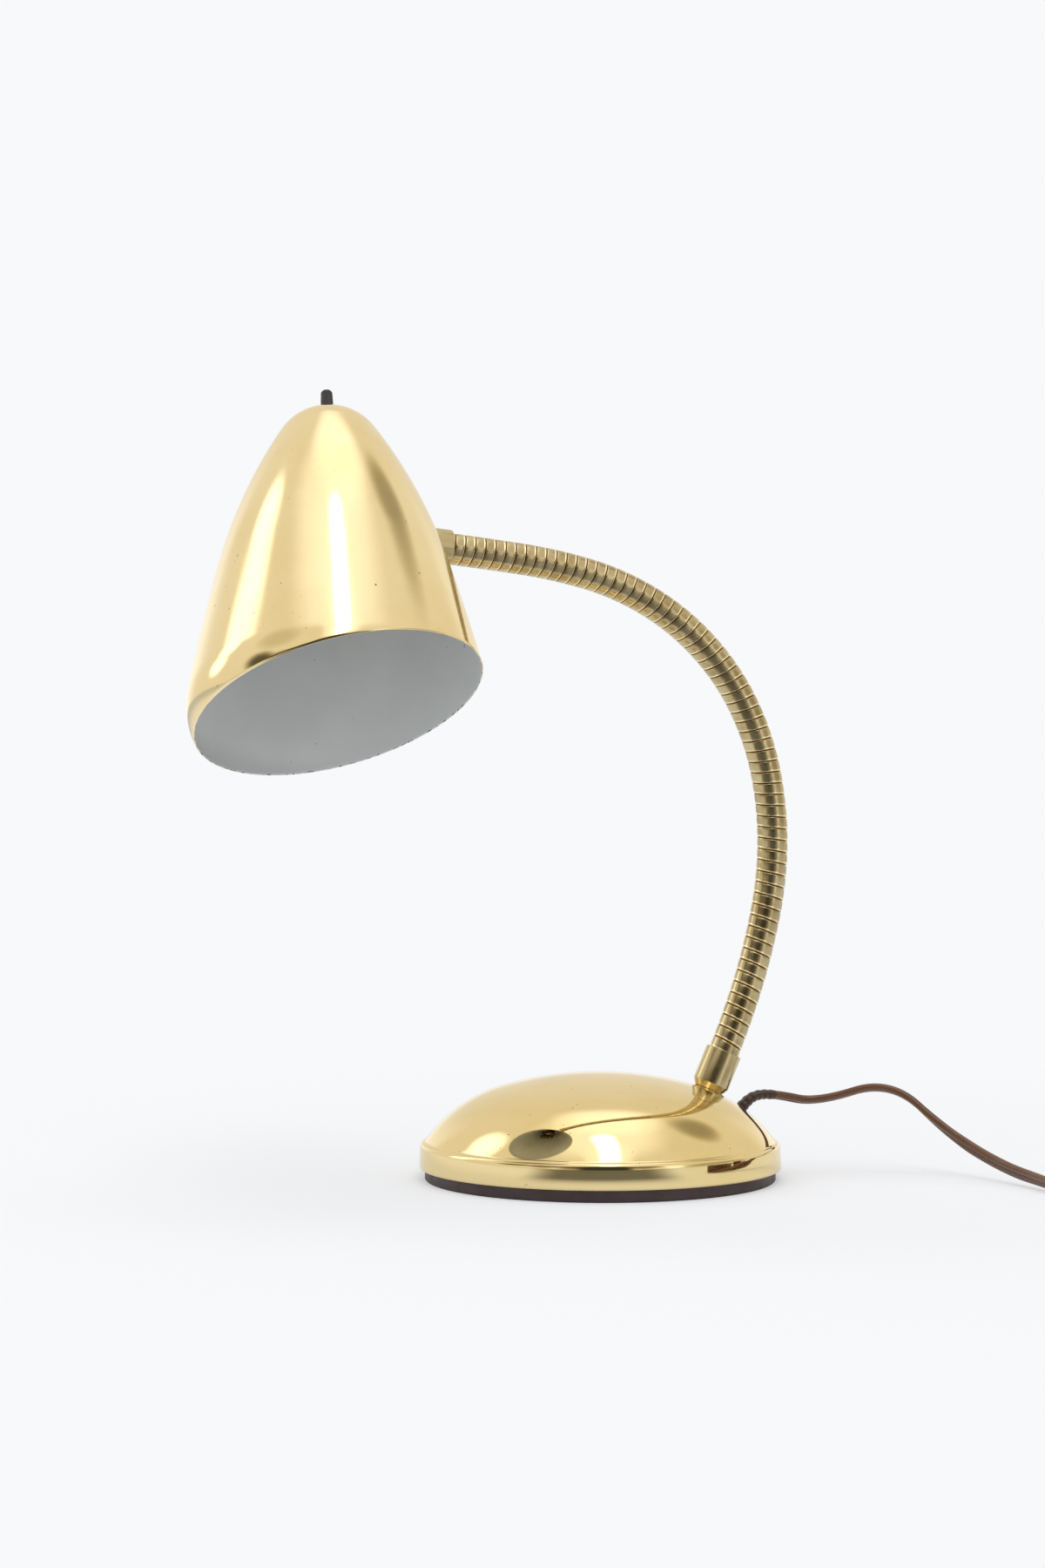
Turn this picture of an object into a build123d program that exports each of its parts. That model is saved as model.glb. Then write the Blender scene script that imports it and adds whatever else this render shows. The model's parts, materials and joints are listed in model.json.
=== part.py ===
from build123d import *
import os
from math import acos, asin, atan2, cos, degrees, hypot, pi, radians, sin, sqrt, tan

# Gooseneck desk lamp. Millimetres, +Z up, origin at the centre of the base's underside.
# +X points to the lamp's rear, where the neck stands and the cord leaves; the shade hangs at -X.

os.makedirs("parts", exist_ok=True)

# ---- driving dimensions ---------------------------------------------------------------------

# Fits
SEAT_GAP = 0.3        # clearance between neighbours that are assembled loosely
RUN_GAP = 0.05        # radial running clearance of a shaft in its bush
SLIP_GAP = 0.1        # clearance of a piece on the thread or shank that it is screwed to
CUT_REACH = 3         # thicknesses of sheet that a cut through it spans

# Base
BASE_R = 82.5         # vertical rim of the brass shell
SHELL_T = 1.0         # brass sheet
RIM_Z = 5.6           # lower edge of the brass rim
DOME_TOP = 48.0
LEDGE_Z = 17.2        # height of the ledge round the dome's foot
CROWN_R = 165.0       # flat arc round the top of the dome
FLANK_R = 64.0        # steeper arc down to the foot of the dome
SHOULDER_R = 2.1      # rolled corner between ledge and rim
LEDGE = 0.4           # flat between the dome's foot and the rolled corner
CUP_INSET = 2.5       # how far the dark bottom cup is set in from the rim
CUP_R = BASE_R - CUP_INSET
CUP_FLOOR = 2.2
CUP_WALL = 5.0
CUP_EDGE = 0.5
WEIGHT_T = 12.4       # cast iron slug
WEIGHT_CHAMFER = 4.0
STUD_R = 3.0          # stud that is welded under the crown and holds the slug
STUD_PAST_NUT = 0.8
STUD_WASHER_R = 9.0
STUD_NUT_H = 2.2      # thin nut under the slug
STUD_NUT_AF = 10.0    # across flats
SLUG_POCKET = 4.0     # depth of the pocket for the stud's nut
CUP_SCREW_R = 1.5
CUP_SCREW_L = 9.0
CUP_SCREW_HEAD_R = 3.2
CUP_SCREW_HEAD_H = 1.4
CUP_SCREW_INSET = 25.0
CUP_SCREW_CIRCLE = CUP_R - CUP_SCREW_INSET
CUP_SCREWS = 3

# Ferrules, nipples and their nuts, alike at both ends of the neck
FERRULE_R = 8.45
FERRULE_L = 19.0
FERRULE_FOOT_R = 6.6  # narrow end of the cone at the foot
FERRULE_FOOT_H = 3.0
FERRULE_CUP = 8.0     # depth that the neck enters
FERRULE_EDGE = 0.4
NIPPLE_R = 4.85
NIPPLE_BORE = 3.0
NIPPLE_NECK_GAP = 4.0 # between the nipple's end and the neck's end in the ferrule
NIPPLE_PAST_NUT = 1.0
WASHER_T = 1.0
WASHER_R = 8.0
NUT_T = 3.0
NUT_AF = 13.0

# Neck
NECK_INSET = 28.5     # how far the neck's foot is set in from the rim
NECK_FOOT_R = BASE_R - NECK_INSET
NECK_R = 7.05
LINK_L = 33.5         # length of one link along the centreline
LINK_BENDS = (5.5, 6.5, 11.5, 13, 16, 17, 16, 14.5, 7.5, 1)  # bend of each link at rest, degrees
TURNS_PER_LINK = 6    # raised hoops on a link
HOOP_GROOVE = 0.7     # width of the groove between two hoops
CORE_R = 6.3          # tube under the hoops
NECK_BORE = 2.7
BALL_R = 5.5          # ball at the upper end of a link
THROAT_R = 4.1        # waist under the ball
CUP_LIP = 1.4         # how far a link's socket reaches back over the ball
JOINT_GAP = 4.4       # how far the hoops stop short of the ball's centre
WIRE_R = 1.1          # insulated lead
WIRE_PITCH = 2.4      # distance between the two leads
WIRE_GAP = 0.8        # how far the leads stop short of a ball's end, on both sides of it

# Shade, drawn about its own axis; s is the distance from the pole towards the mouth
SHADE_ROLL = 25.0     # turn of the shade about the neck's end at rest, degrees
SHADE_T = 0.6
SHADE_S = 62.4        # distance from the pole to the neck's axis
SHADE_REACH = 54.8    # from the neck's end to the shade's axis
NOSE_R = 26.0
NOSE_EDGE = 30.0      # slope of the wall where the nose ends, degrees from the shade's axis
WAIST_S = 84.7
WAIST_R = 51.6
HEM_S = 142.0
HEM_R = 64.6
LIP_R = 30.0          # inward roll of the hem
LIP_END_S = 168.0
MOUTH_S = 147.5       # where the oblique mouth crosses the shade's axis
MOUTH_CUT = 12.3      # slant of the mouth, short towards the neck, degrees
MOUTH_TURN = 10.0     # turn of the slant about the shade's axis, degrees
SHADE_HOLE_GAP = 0.35

# Strap, socket and switch
STRAP_T = 1.6
STRAP_W = 15.0
STRAP_KNEE_S = 49.0
STRAP_TOP_S = 10.0
STRAP_TOP_U = 12.0
STRAP_TAIL_U = 9.0
STRAP_WALL_GAP = 2.9  # between the knee's corners and the shade
STRAP_BELOW = 11.0    # how far the leg reaches past the neck's axis
BUSH_R = 2.15         # switch bushing that passes the pole
BUSH_COLLAR_R = 6.0
BUSH_PAST_POLE = 2.4
SLEEVE_R = 2.75       # nickel sleeve nut over the bushing
SHAFT_R = 1.2
KNOB_R_TOP = 2.6
KNOB_R_BOTTOM = 2.95
KNOB_H = 9.2
KNOB_GAP = 0.3
KNOB_CROWN = 1.6
KNOB_GRIP = 5.5       # depth of the knob's bore
KNOB_RIBS = 14
KNOB_RIB_R = 0.22
SOCKET_R = 18.0
SOCKET_L = 42.0
SOCKET_WEB = 4.0      # insulating wall between switch and screw shell
CAP_L = 13.0
CAP_R = 15.0
CAP_TOP_R = 9.0
CAP_SLOPE_L = 8.3
CAP_WALL = 2.0
CAP_LEAD_S = 21.5     # distance of the lead's hole from the pole
BUSH_FLANGE_R = 4.5
BUSH_FLANGE_T = 1.4
SCREW_SHELL_R = 13.3  # inside of the screw shell, for an E26 lamp
SCREW_SHELL_T = 0.5
SCREW_THREAD_L = 21.0 # its straight wall, past the contact
CONTACT_R = 5.0
CONTACT_T = 0.6
CONTACT_DOME_R = 2.5
CONTACT_TIP_R = 1.6
CONTACT_RISE = 3.0
ROTOR_R = 7.0
ROTOR_H = 4.0
ROTOR_GAP = 1.0       # between the bushing's flange and the rotor
TERMINAL_R = 2.0
TERMINAL_H = 1.8
TERMINAL_SHANK_R = 1.2
TERMINAL_CIRCLE = 10.0
TERMINALS = 2
LEAD_R = 1.9          # pair of leads in one jacket
LEAD_ANGLE = 33.0     # side of the socket on which the leads run, degrees from the neck
LEAD_BEND = 2.6
LEAD_RUN = 4.0        # straight stretch of a lead before its first bend
LEAD_DROP = 12.0
LEAD_JOINT_GAP = 0.6  # between the leads that turn with the shade and those in the neck

# Cord
CORD_R = 2.5
CORD_INSET = 13.0     # how far the cord's exit is set in from the rim
CORD_EXIT_R = BASE_R - CORD_INSET
GROMMET_R = 5.0
GROMMET_FLANGE = 0.9
GROMMET_NECK_R = 3.9
GROMMET_L = 3.2
GROMMET_TAPER = 30.0
CORD_LEAN = 48.0      # direction in which the cord leaves, degrees from +Z
CORD_FIRST_RUN = 9.0
ARC_SHARE = 0.45      # share of a run that the arc at its end takes
COIL_CENTER = (200.0, -184.0)
COIL_R = 33.0         # middle of the turns
COIL_W = 18.0         # width of the bundle
COIL_H = 13.0
COIL_EDGE = 4.0
TIE_W = 6.0
TIE_T = 0.8
PLUG_L = 26.0
PLUG_W = 25.0
PLUG_BACK_W = 15.0    # width where the cord enters
PLUG_H = 13.0
PLUG_EDGE = 3.0
BLADE_L = 17.5
BLADE_W = 6.3
BLADE_T = 1.5
BLADE_PITCH = 12.7

# ---- frames of reference --------------------------------------------------------------------

X_AXIS = Vector(1, 0, 0)
Y_AXIS = Vector(0, 1, 0)


def lean(angle):
    """Unit vector in the lamp's middle plane, leaning from +Z towards +X by an angle in degrees."""
    return Vector(sin(radians(angle)), 0, cos(radians(angle)))


def walk(start, angle, length, bend):
    """End point of an arc in the middle plane that starts at a lean angle and bends towards -X."""
    if not bend:
        return start + lean(angle) * length
    turn = radians(bend)
    chord = 2 * length / turn * sin(turn / 2)
    return start + lean(angle - bend / 2) * chord


# Dome profile: the flank arc meets the ledge and runs into the crown arc without a corner, which
# sets the tilt from the axis at which they meet
crown_center = (0, DOME_TOP - CROWN_R)
flank_reach = CROWN_R - FLANK_R
foot_r = BASE_R - SHOULDER_R - LEDGE
foot_rise = LEDGE_Z - crown_center[1]
foot_span = hypot(foot_r, foot_rise)
crown_tilt = degrees(atan2(foot_r, foot_rise) - acos(
    (flank_reach**2 + foot_span**2 - FLANK_R**2) / (2 * flank_reach * foot_span)))
flank_center = (
    flank_reach * sin(radians(crown_tilt)),
    crown_center[1] + flank_reach * cos(radians(crown_tilt)),
)
foot_tilt = degrees(atan2(foot_r - flank_center[0], LEDGE_Z - flank_center[1]))


def dome_point(r):
    """Point of the dome's flank at a distance r from the axis on the +X side, and its slope."""
    tilt = atan2(r - flank_center[0], sqrt(FLANK_R**2 - (r - flank_center[0]) ** 2))
    return Vector(r, 0, flank_center[1] + FLANK_R * cos(tilt)), degrees(tilt)


neck_foot, neck_tilt = dome_point(NECK_FOOT_R)
neck_foot_plane = Plane(neck_foot, x_dir=Y_AXIS, z_dir=lean(neck_tilt))
cord_exit, cord_tilt = dome_point(CORD_EXIT_R)
cord_exit_plane = Plane(cord_exit, x_dir=Y_AXIS, z_dir=lean(cord_tilt))

# Neck centreline: start point and lean angle of each link, and those of the neck's end
link_starts = [neck_foot + lean(neck_tilt) * FERRULE_L]
link_leans = [neck_tilt]
for link_bend in LINK_BENDS:
    link_starts.append(walk(link_starts[-1], link_leans[-1], LINK_L, link_bend))
    link_leans.append(link_leans[-1] - link_bend)
neck_end = link_starts[-1]
end_lean = link_leans[-1]
link_count = len(LINK_BENDS)

# Shade: u points from its axis back along the neck, s runs from the pole towards the mouth
shade_u = lean(end_lean) * -1
shade_up = lean(end_lean + 90).rotate(Axis((0, 0, 0), shade_u), -SHADE_ROLL)
shade_down = shade_up * -1
shade_v = shade_u.cross(shade_down)
shade_center = neck_end - shade_u * SHADE_REACH
pole = shade_center + shade_up * SHADE_S
shade_section = Plane(pole, x_dir=shade_u, z_dir=shade_v)


def across(s):
    """Plane across the shade's axis at a distance s from the pole, facing the mouth."""
    return Plane(pole + shade_down * s, x_dir=shade_u, z_dir=shade_down)


# Shade profile: a round nose, then two arcs in line through the waist to the hem, then the lip
nose_end = (NOSE_R * cos(radians(NOSE_EDGE)), NOSE_R * (1 - sin(radians(NOSE_EDGE))))
waist = (WAIST_R, WAIST_S)
hem = (HEM_R, HEM_S)


def mid_point(first, last, start_slope):
    """Point half way along the arc that leaves first at a slope from the s axis and meets last."""
    chord = hypot(last[0] - first[0], last[1] - first[1])
    chord_slope = atan2(last[0] - first[0], last[1] - first[1])
    sag = chord / 2 * tan((radians(start_slope) - chord_slope) / 2)
    return (
        (first[0] + last[0]) / 2 + sag * cos(chord_slope),
        (first[1] + last[1]) / 2 - sag * sin(chord_slope),
    )


def end_slope(first, last, start_slope):
    """Slope at the end of such an arc, in degrees."""
    return 2 * degrees(atan2(last[0] - first[0], last[1] - first[1])) - start_slope


waist_slope = end_slope(nose_end, waist, NOSE_EDGE)
hem_slope = end_slope(waist, hem, waist_slope)


def flank_wall_r(s):
    """Outer radius of the shade at a distance s from the pole, between its nose and its waist."""
    chord = hypot(waist[0] - nose_end[0], waist[1] - nose_end[1])
    wall_r = chord / 2 / sin(radians(NOSE_EDGE - waist_slope) / 2)
    center_r = nose_end[0] - wall_r * cos(radians(NOSE_EDGE))
    center_s = nose_end[1] + wall_r * sin(radians(NOSE_EDGE))
    return center_r + sqrt(wall_r**2 - (s - center_s) ** 2)


# ---- base -----------------------------------------------------------------------------------

def dome_face(inset, floor_z):
    """Half section of the base's outside, its skin moved in by inset and closed at floor_z."""
    crown_r = CROWN_R - inset
    flank_r = FLANK_R - inset
    shoulder_r = SHOULDER_R - inset
    shoulder_center = (BASE_R - SHOULDER_R, LEDGE_Z - SHOULDER_R)
    rim_r = BASE_R - inset
    with BuildLine() as outline:
        crown = CenterArc(crown_center, crown_r, 90, -crown_tilt)
        flank = CenterArc(flank_center, flank_r, 90 - crown_tilt, crown_tilt - foot_tilt)
        shoulder = CenterArc(shoulder_center, shoulder_r, 90, -90)
        Line(flank @ 1, shoulder @ 0)
        Polyline(shoulder @ 1, (rim_r, floor_z), (0, floor_z), crown @ 0)
    make_face(outline.edges())


stud_z = RIM_Z + SLUG_POCKET
with BuildPart() as base_shell:
    with BuildSketch(Plane.XZ):
        dome_face(0, RIM_Z)
    revolve(axis=Axis.Z)
    with BuildSketch(Plane.XZ):
        dome_face(SHELL_T, RIM_Z)
    revolve(axis=Axis.Z, mode=Mode.SUBTRACT)
    with BuildSketch(neck_foot_plane):
        Circle(NIPPLE_R + SLIP_GAP)
    extrude(amount=SHELL_T * CUT_REACH, both=True, mode=Mode.SUBTRACT)
    with BuildSketch(cord_exit_plane):
        Circle(GROMMET_NECK_R + SLIP_GAP)
    extrude(amount=SHELL_T * CUT_REACH, both=True, mode=Mode.SUBTRACT)

cup_screw_spots = PolarLocations(CUP_SCREW_CIRCLE, CUP_SCREWS, start_angle=60)
with BuildPart() as base_weight:
    with BuildSketch(Plane.XY.offset(RIM_Z)):
        Circle(BASE_R - SHELL_T - SEAT_GAP)
    extrude(amount=WEIGHT_T)
    with BuildSketch(Plane.XZ):
        dome_face(SHELL_T + SEAT_GAP, RIM_Z)
    revolve(axis=Axis.Z, mode=Mode.INTERSECT)
    with BuildSketch(Plane.XY.offset(RIM_Z)):
        Circle(STUD_R + SEAT_GAP)
    extrude(amount=WEIGHT_T, mode=Mode.SUBTRACT)
    with BuildSketch(Plane.XY.offset(RIM_Z)):
        Circle(STUD_WASHER_R + SEAT_GAP)
    extrude(amount=SLUG_POCKET, mode=Mode.SUBTRACT)
    with BuildSketch(Plane.XY.offset(RIM_Z)):
        with cup_screw_spots:
            Circle(CUP_SCREW_R + SLIP_GAP)
    extrude(amount=CUP_SCREW_L, mode=Mode.SUBTRACT)

with BuildPart() as base_cup:
    with BuildSketch():
        Circle(CUP_R)
    extrude(amount=RIM_Z)
    chamfer(base_cup.faces().sort_by(Axis.Z)[0].edges(), CUP_EDGE)
    with BuildSketch(Plane.XY.offset(CUP_FLOOR)):
        Circle(CUP_R - CUP_WALL)
    extrude(amount=RIM_Z, mode=Mode.SUBTRACT)
    with BuildSketch():
        with cup_screw_spots:
            Circle(CUP_SCREW_HEAD_R + CUP_FLOOR)
    extrude(amount=RIM_Z)
    with BuildSketch():
        with cup_screw_spots:
            Circle(CUP_SCREW_R + SLIP_GAP)
    extrude(amount=RIM_Z, mode=Mode.SUBTRACT)
    with BuildSketch():
        with cup_screw_spots:
            Circle(CUP_SCREW_HEAD_R + SEAT_GAP)
    extrude(amount=CUP_SCREW_HEAD_H + SEAT_GAP, mode=Mode.SUBTRACT)

with BuildPart() as cup_screws:
    with BuildSketch(Plane.XY.offset(SEAT_GAP)):
        with cup_screw_spots:
            Circle(CUP_SCREW_HEAD_R)
    extrude(amount=CUP_SCREW_HEAD_H)
    with BuildSketch(Plane.XY.offset(SEAT_GAP)):
        with cup_screw_spots:
            Circle(CUP_SCREW_R)
    extrude(amount=CUP_SCREW_L + RIM_Z - SEAT_GAP * 2)

stud_top = DOME_TOP - SHELL_T
stud_bottom = stud_z - WASHER_T - STUD_NUT_H - STUD_PAST_NUT
with BuildPart() as slug_stud:
    with BuildSketch(Plane.XY.offset(stud_bottom)):
        Circle(STUD_R)
    extrude(amount=stud_top - stud_bottom)
    with BuildSketch(Plane.XZ):
        dome_face(SHELL_T, RIM_Z - SLUG_POCKET)
    revolve(axis=Axis.Z, mode=Mode.INTERSECT)

with BuildPart() as slug_washer:
    with BuildSketch(Plane.XY.offset(stud_z - WASHER_T)):
        Circle(STUD_WASHER_R)
        Circle(STUD_R + SLIP_GAP, mode=Mode.SUBTRACT)
    extrude(amount=WASHER_T)

with BuildPart() as slug_nut:
    with BuildSketch(Plane.XY.offset(stud_z - WASHER_T - STUD_NUT_H)):
        RegularPolygon(STUD_NUT_AF / 2, 6, major_radius=False)
        Circle(STUD_R + SLIP_GAP, mode=Mode.SUBTRACT)
    extrude(amount=STUD_NUT_H)


# ---- ferrules, nipples, washers and nuts ----------------------------------------------------

def ferrule(foot_plane, length):
    """Turned brass cup that holds one end of the neck; foot_plane faces the neck."""
    foot_slope = degrees(atan2(FERRULE_R - FERRULE_FOOT_R, FERRULE_FOOT_H))
    with BuildPart() as cup:
        with BuildSketch(foot_plane):
            Circle(FERRULE_FOOT_R)
        extrude(amount=FERRULE_FOOT_H, taper=-foot_slope)
        with BuildSketch(foot_plane.offset(FERRULE_FOOT_H)):
            Circle(FERRULE_R)
        extrude(amount=length - FERRULE_FOOT_H)
        chamfer(cup.faces().sort_by(Axis(foot_plane.origin, foot_plane.z_dir))[-1].edges(), FERRULE_EDGE)
        with BuildSketch(foot_plane.offset(length - FERRULE_CUP)):
            Circle(NECK_R + SLIP_GAP)
        extrude(amount=FERRULE_CUP, mode=Mode.SUBTRACT)
        with BuildSketch(foot_plane):
            Circle(NIPPLE_R + SLIP_GAP)
        extrude(amount=length, mode=Mode.SUBTRACT)
    return cup.part


def nipple(foot_plane, below, length):
    """Threaded tube from a distance below a ferrule's foot up to near the neck's end in it."""
    with BuildPart() as tube:
        with BuildSketch(foot_plane.offset(-below)):
            Circle(NIPPLE_R)
            Circle(NIPPLE_BORE, mode=Mode.SUBTRACT)
        extrude(amount=below + length - FERRULE_CUP - NIPPLE_NECK_GAP)
    return tube.part


def washer(foot_plane, below):
    """Flat washer whose top is a distance below the ferrule's foot."""
    with BuildPart() as ring:
        with BuildSketch(foot_plane.offset(-below - WASHER_T)):
            Circle(WASHER_R)
            Circle(NIPPLE_R + SLIP_GAP, mode=Mode.SUBTRACT)
        extrude(amount=WASHER_T)
    return ring.part


def hex_nut(foot_plane, below):
    """Hexagon nut whose top is a distance below the ferrule's foot."""
    with BuildPart() as nut:
        with BuildSketch(foot_plane.offset(-below - NUT_T)):
            RegularPolygon(NUT_AF / 2, 6, major_radius=False)
            Circle(NIPPLE_R + SLIP_GAP, mode=Mode.SUBTRACT)
        extrude(amount=NUT_T)
    return nut.part


# The washer under the dome seats on the shell's curved inside, so it sits lower by its sag
washer_sag = (FLANK_R - SHELL_T) - sqrt((FLANK_R - SHELL_T) ** 2 - WASHER_R**2)
base_washer_below = SHELL_T + washer_sag
base_nut_below = base_washer_below + WASHER_T
base_nipple_below = base_nut_below + NUT_T + NIPPLE_PAST_NUT
lower_ferrule = ferrule(neck_foot_plane, FERRULE_L)
base_nipple = nipple(neck_foot_plane, base_nipple_below, FERRULE_L)
base_washer = washer(neck_foot_plane, base_washer_below)
base_nut = hex_nut(neck_foot_plane, base_nut_below)

# The upper ferrule reaches from the strap's leg, which clears the shade, to the neck's end
strap_leg_below = SLIP_GAP
leg_u = sqrt((flank_wall_r(STRAP_KNEE_S) - SHADE_T - STRAP_WALL_GAP) ** 2 - (STRAP_W / 2) ** 2)
upper_seat_u = leg_u + strap_leg_below
upper_ferrule_l = SHADE_REACH - upper_seat_u
upper_foot_plane = Plane(shade_center + shade_u * upper_seat_u, x_dir=shade_v, z_dir=shade_u)
upper_washer_below = strap_leg_below + STRAP_T + SLIP_GAP
upper_nut_below = upper_washer_below + WASHER_T
upper_nipple_below = upper_nut_below + NUT_T + NIPPLE_PAST_NUT
upper_ferrule = ferrule(upper_foot_plane, upper_ferrule_l)
upper_nipple = nipple(upper_foot_plane, upper_nipple_below, upper_ferrule_l)
upper_washer = washer(upper_foot_plane, upper_washer_below)
upper_nut = hex_nut(upper_foot_plane, upper_nut_below)


# ---- neck -----------------------------------------------------------------------------------

def arc_plane(index, distance):
    """Plane across a link's centreline at a distance from its start, facing the shade."""
    bend = LINK_BENDS[index] * distance / LINK_L
    spot = walk(link_starts[index], link_leans[index], distance, bend)
    return Plane(spot, x_dir=Y_AXIS, z_dir=lean(link_leans[index] - bend))


def centreline(index, before, first, last, beyond):
    """Centreline of a link from first to last, with straight runs before and beyond it."""
    head, middle, tail = [arc_plane(index, d) for d in (first, (first + last) / 2, last)]
    with BuildLine() as path:
        if before:
            Line(head.origin - head.z_dir * before, head.origin)
        ThreePointArc(head.origin, middle.origin, tail.origin)
        if beyond:
            Line(tail.origin, tail.origin + tail.z_dir * beyond)
    return path.wire()


def link(index):
    """One link of the neck: hoops on a core, a socket at the start and a ball at the end."""
    is_first, is_last = index == 0, index == link_count - 1
    hoops_from = 0 if is_first else -CUP_LIP
    hoops_to = LINK_L if is_last else LINK_L - JOINT_GAP
    pitch = (hoops_to - hoops_from) / TURNS_PER_LINK
    core_to = LINK_L if is_last else hoops_to - HOOP_GROOVE
    with BuildPart() as body:
        with BuildSketch(arc_plane(index, hoops_from)):
            Circle(CORE_R)
        sweep(path=centreline(index, 0, hoops_from, core_to, 0))
        for turn in range(TURNS_PER_LINK):
            with BuildSketch(arc_plane(index, hoops_from + pitch * turn)):
                Circle(NECK_R)
            extrude(amount=pitch - HOOP_GROOVE)
        if is_first:
            with BuildSketch(arc_plane(index, 0)):
                Circle(NECK_R)
            extrude(amount=-FERRULE_CUP)
        else:
            with Locations(link_starts[index]):
                Sphere(BALL_R + SEAT_GAP, mode=Mode.SUBTRACT)
        if is_last:
            with BuildSketch(arc_plane(index, LINK_L)):
                Circle(NECK_R)
            extrude(amount=FERRULE_CUP)
        else:
            with BuildSketch(arc_plane(index, hoops_to - pitch)):
                Circle(THROAT_R)
            sweep(path=centreline(index, 0, hoops_to - pitch, LINK_L, 0))
            with Locations(link_starts[index + 1]):
                Sphere(BALL_R)
        bore_before = FERRULE_CUP if is_first else 0
        bore_beyond = FERRULE_CUP if is_last else BALL_R + SEAT_GAP
        bore_start = arc_plane(index, 0)
        with BuildSketch(bore_start.offset(-bore_before)):
            Circle(NECK_BORE)
        sweep(path=centreline(index, bore_before, 0, LINK_L, bore_beyond), mode=Mode.SUBTRACT)
    return body.part


def neck_leads(index):
    """The two insulated leads inside one link, which run on through the ferrule at the ends."""
    is_first, is_last = index == 0, index == link_count - 1
    before = FERRULE_L + base_nipple_below if is_first else 0
    beyond = upper_ferrule_l + upper_nipple_below if is_last else BALL_R - WIRE_GAP
    first = 0 if is_first else BALL_R + WIRE_GAP
    with BuildPart() as leads:
        with BuildSketch(arc_plane(index, first).offset(-before)):
            with GridLocations(WIRE_PITCH, 0, 2, 1):
                Circle(WIRE_R)
        sweep(path=centreline(index, before, first, LINK_L, beyond))
    return leads.part


neck_links = [link(index) for index in range(link_count)]
neck_wires = [neck_leads(index) for index in range(link_count)]

# ---- shade ----------------------------------------------------------------------------------

def wall_point(point, slope, inset):
    """Point moved from the shade's outside into its wall."""
    return (point[0] - inset * cos(radians(slope)), point[1] + inset * sin(radians(slope)))


def shade_face(inset, end_s):
    """Half section of the shade, its wall moved in by inset and closed across its axis at end_s."""
    waist_in = wall_point(waist, waist_slope, inset)
    hem_in = wall_point(hem, hem_slope, inset)
    flank_mid = mid_point(nose_end, waist, NOSE_EDGE)
    skirt_mid = mid_point(waist, hem, waist_slope)
    lip_r = LIP_R - inset
    lip_center = wall_point(hem, hem_slope, LIP_R)
    lip_turn = hem_slope + degrees(asin((end_s - lip_center[1]) / lip_r))
    with BuildLine() as outline:
        nose = CenterArc((0, NOSE_R), NOSE_R - inset, -90, 90 - NOSE_EDGE)
        ThreePointArc(nose @ 1, wall_point(flank_mid, (NOSE_EDGE + waist_slope) / 2, inset), waist_in)
        ThreePointArc(waist_in, wall_point(skirt_mid, (waist_slope + hem_slope) / 2, inset), hem_in)
        lip = CenterArc(lip_center, lip_r, -hem_slope, lip_turn)
        Polyline(lip @ 1, (0, end_s), nose @ 0)
    make_face(outline.edges())


mouth_lean = shade_u.rotate(Axis((0, 0, 0), shade_down), MOUTH_TURN)
mouth_normal = shade_down * cos(radians(MOUTH_CUT)) + mouth_lean * sin(radians(MOUTH_CUT))
mouth_plane = Plane(pole + shade_down * MOUTH_S, z_dir=mouth_normal)
shade_axis = Axis(pole, shade_down)

with BuildPart() as shade_shell:
    with BuildSketch(shade_section):
        shade_face(0, LIP_END_S)
    revolve(axis=shade_axis)
    with BuildSketch(shade_section):
        shade_face(SHADE_T, LIP_END_S)
    revolve(axis=shade_axis, mode=Mode.SUBTRACT)
    split(bisect_by=mouth_plane, keep=Keep.BOTTOM)
    with BuildSketch(upper_foot_plane):
        Circle(FERRULE_R + SHADE_HOLE_GAP)
    extrude(amount=upper_ferrule_l, mode=Mode.SUBTRACT)
    with BuildSketch(across(0)):
        Circle(BUSH_R + SLIP_GAP)
    extrude(amount=SHADE_T * 2, both=True, mode=Mode.SUBTRACT)


# ---- strap, socket and switch ---------------------------------------------------------------

def turned(outline):
    """Solid of revolution about the shade's axis from an outline of (radius, s) points."""
    with BuildPart() as body:
        with BuildSketch(shade_section):
            with BuildLine() as edge:
                Polyline(*outline, close=True)
            make_face(edge.edges())
        revolve(axis=shade_axis)
    return body.part


leg_end_s = SHADE_S + STRAP_BELOW
strap_line = [
    (leg_u, leg_end_s),
    (leg_u, STRAP_KNEE_S),
    (STRAP_TOP_U, STRAP_TOP_S),
    (-STRAP_TAIL_U, STRAP_TOP_S),
]
with BuildPart() as socket_strap:
    with BuildSketch(shade_section):
        with BuildLine():
            Polyline(*strap_line)
            offset(amount=STRAP_T, side=Side.RIGHT, closed=True)
        make_face()
    extrude(amount=STRAP_W / 2, both=True)
    with BuildSketch(upper_foot_plane):
        Circle(NIPPLE_R + SEAT_GAP)
    extrude(amount=-STRAP_T * CUT_REACH, mode=Mode.SUBTRACT)
    with BuildSketch(across(STRAP_TOP_S)):
        Circle(BUSH_R + SLIP_GAP)
    extrude(amount=STRAP_T * CUT_REACH, both=True, mode=Mode.SUBTRACT)

cap_s = STRAP_TOP_S + STRAP_T + SLIP_GAP


def in_shade(u, v, s):
    """Point from its distances along the neck's end, across it and from the pole."""
    return pole + shade_u * u + shade_v * v + shade_down * s


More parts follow.
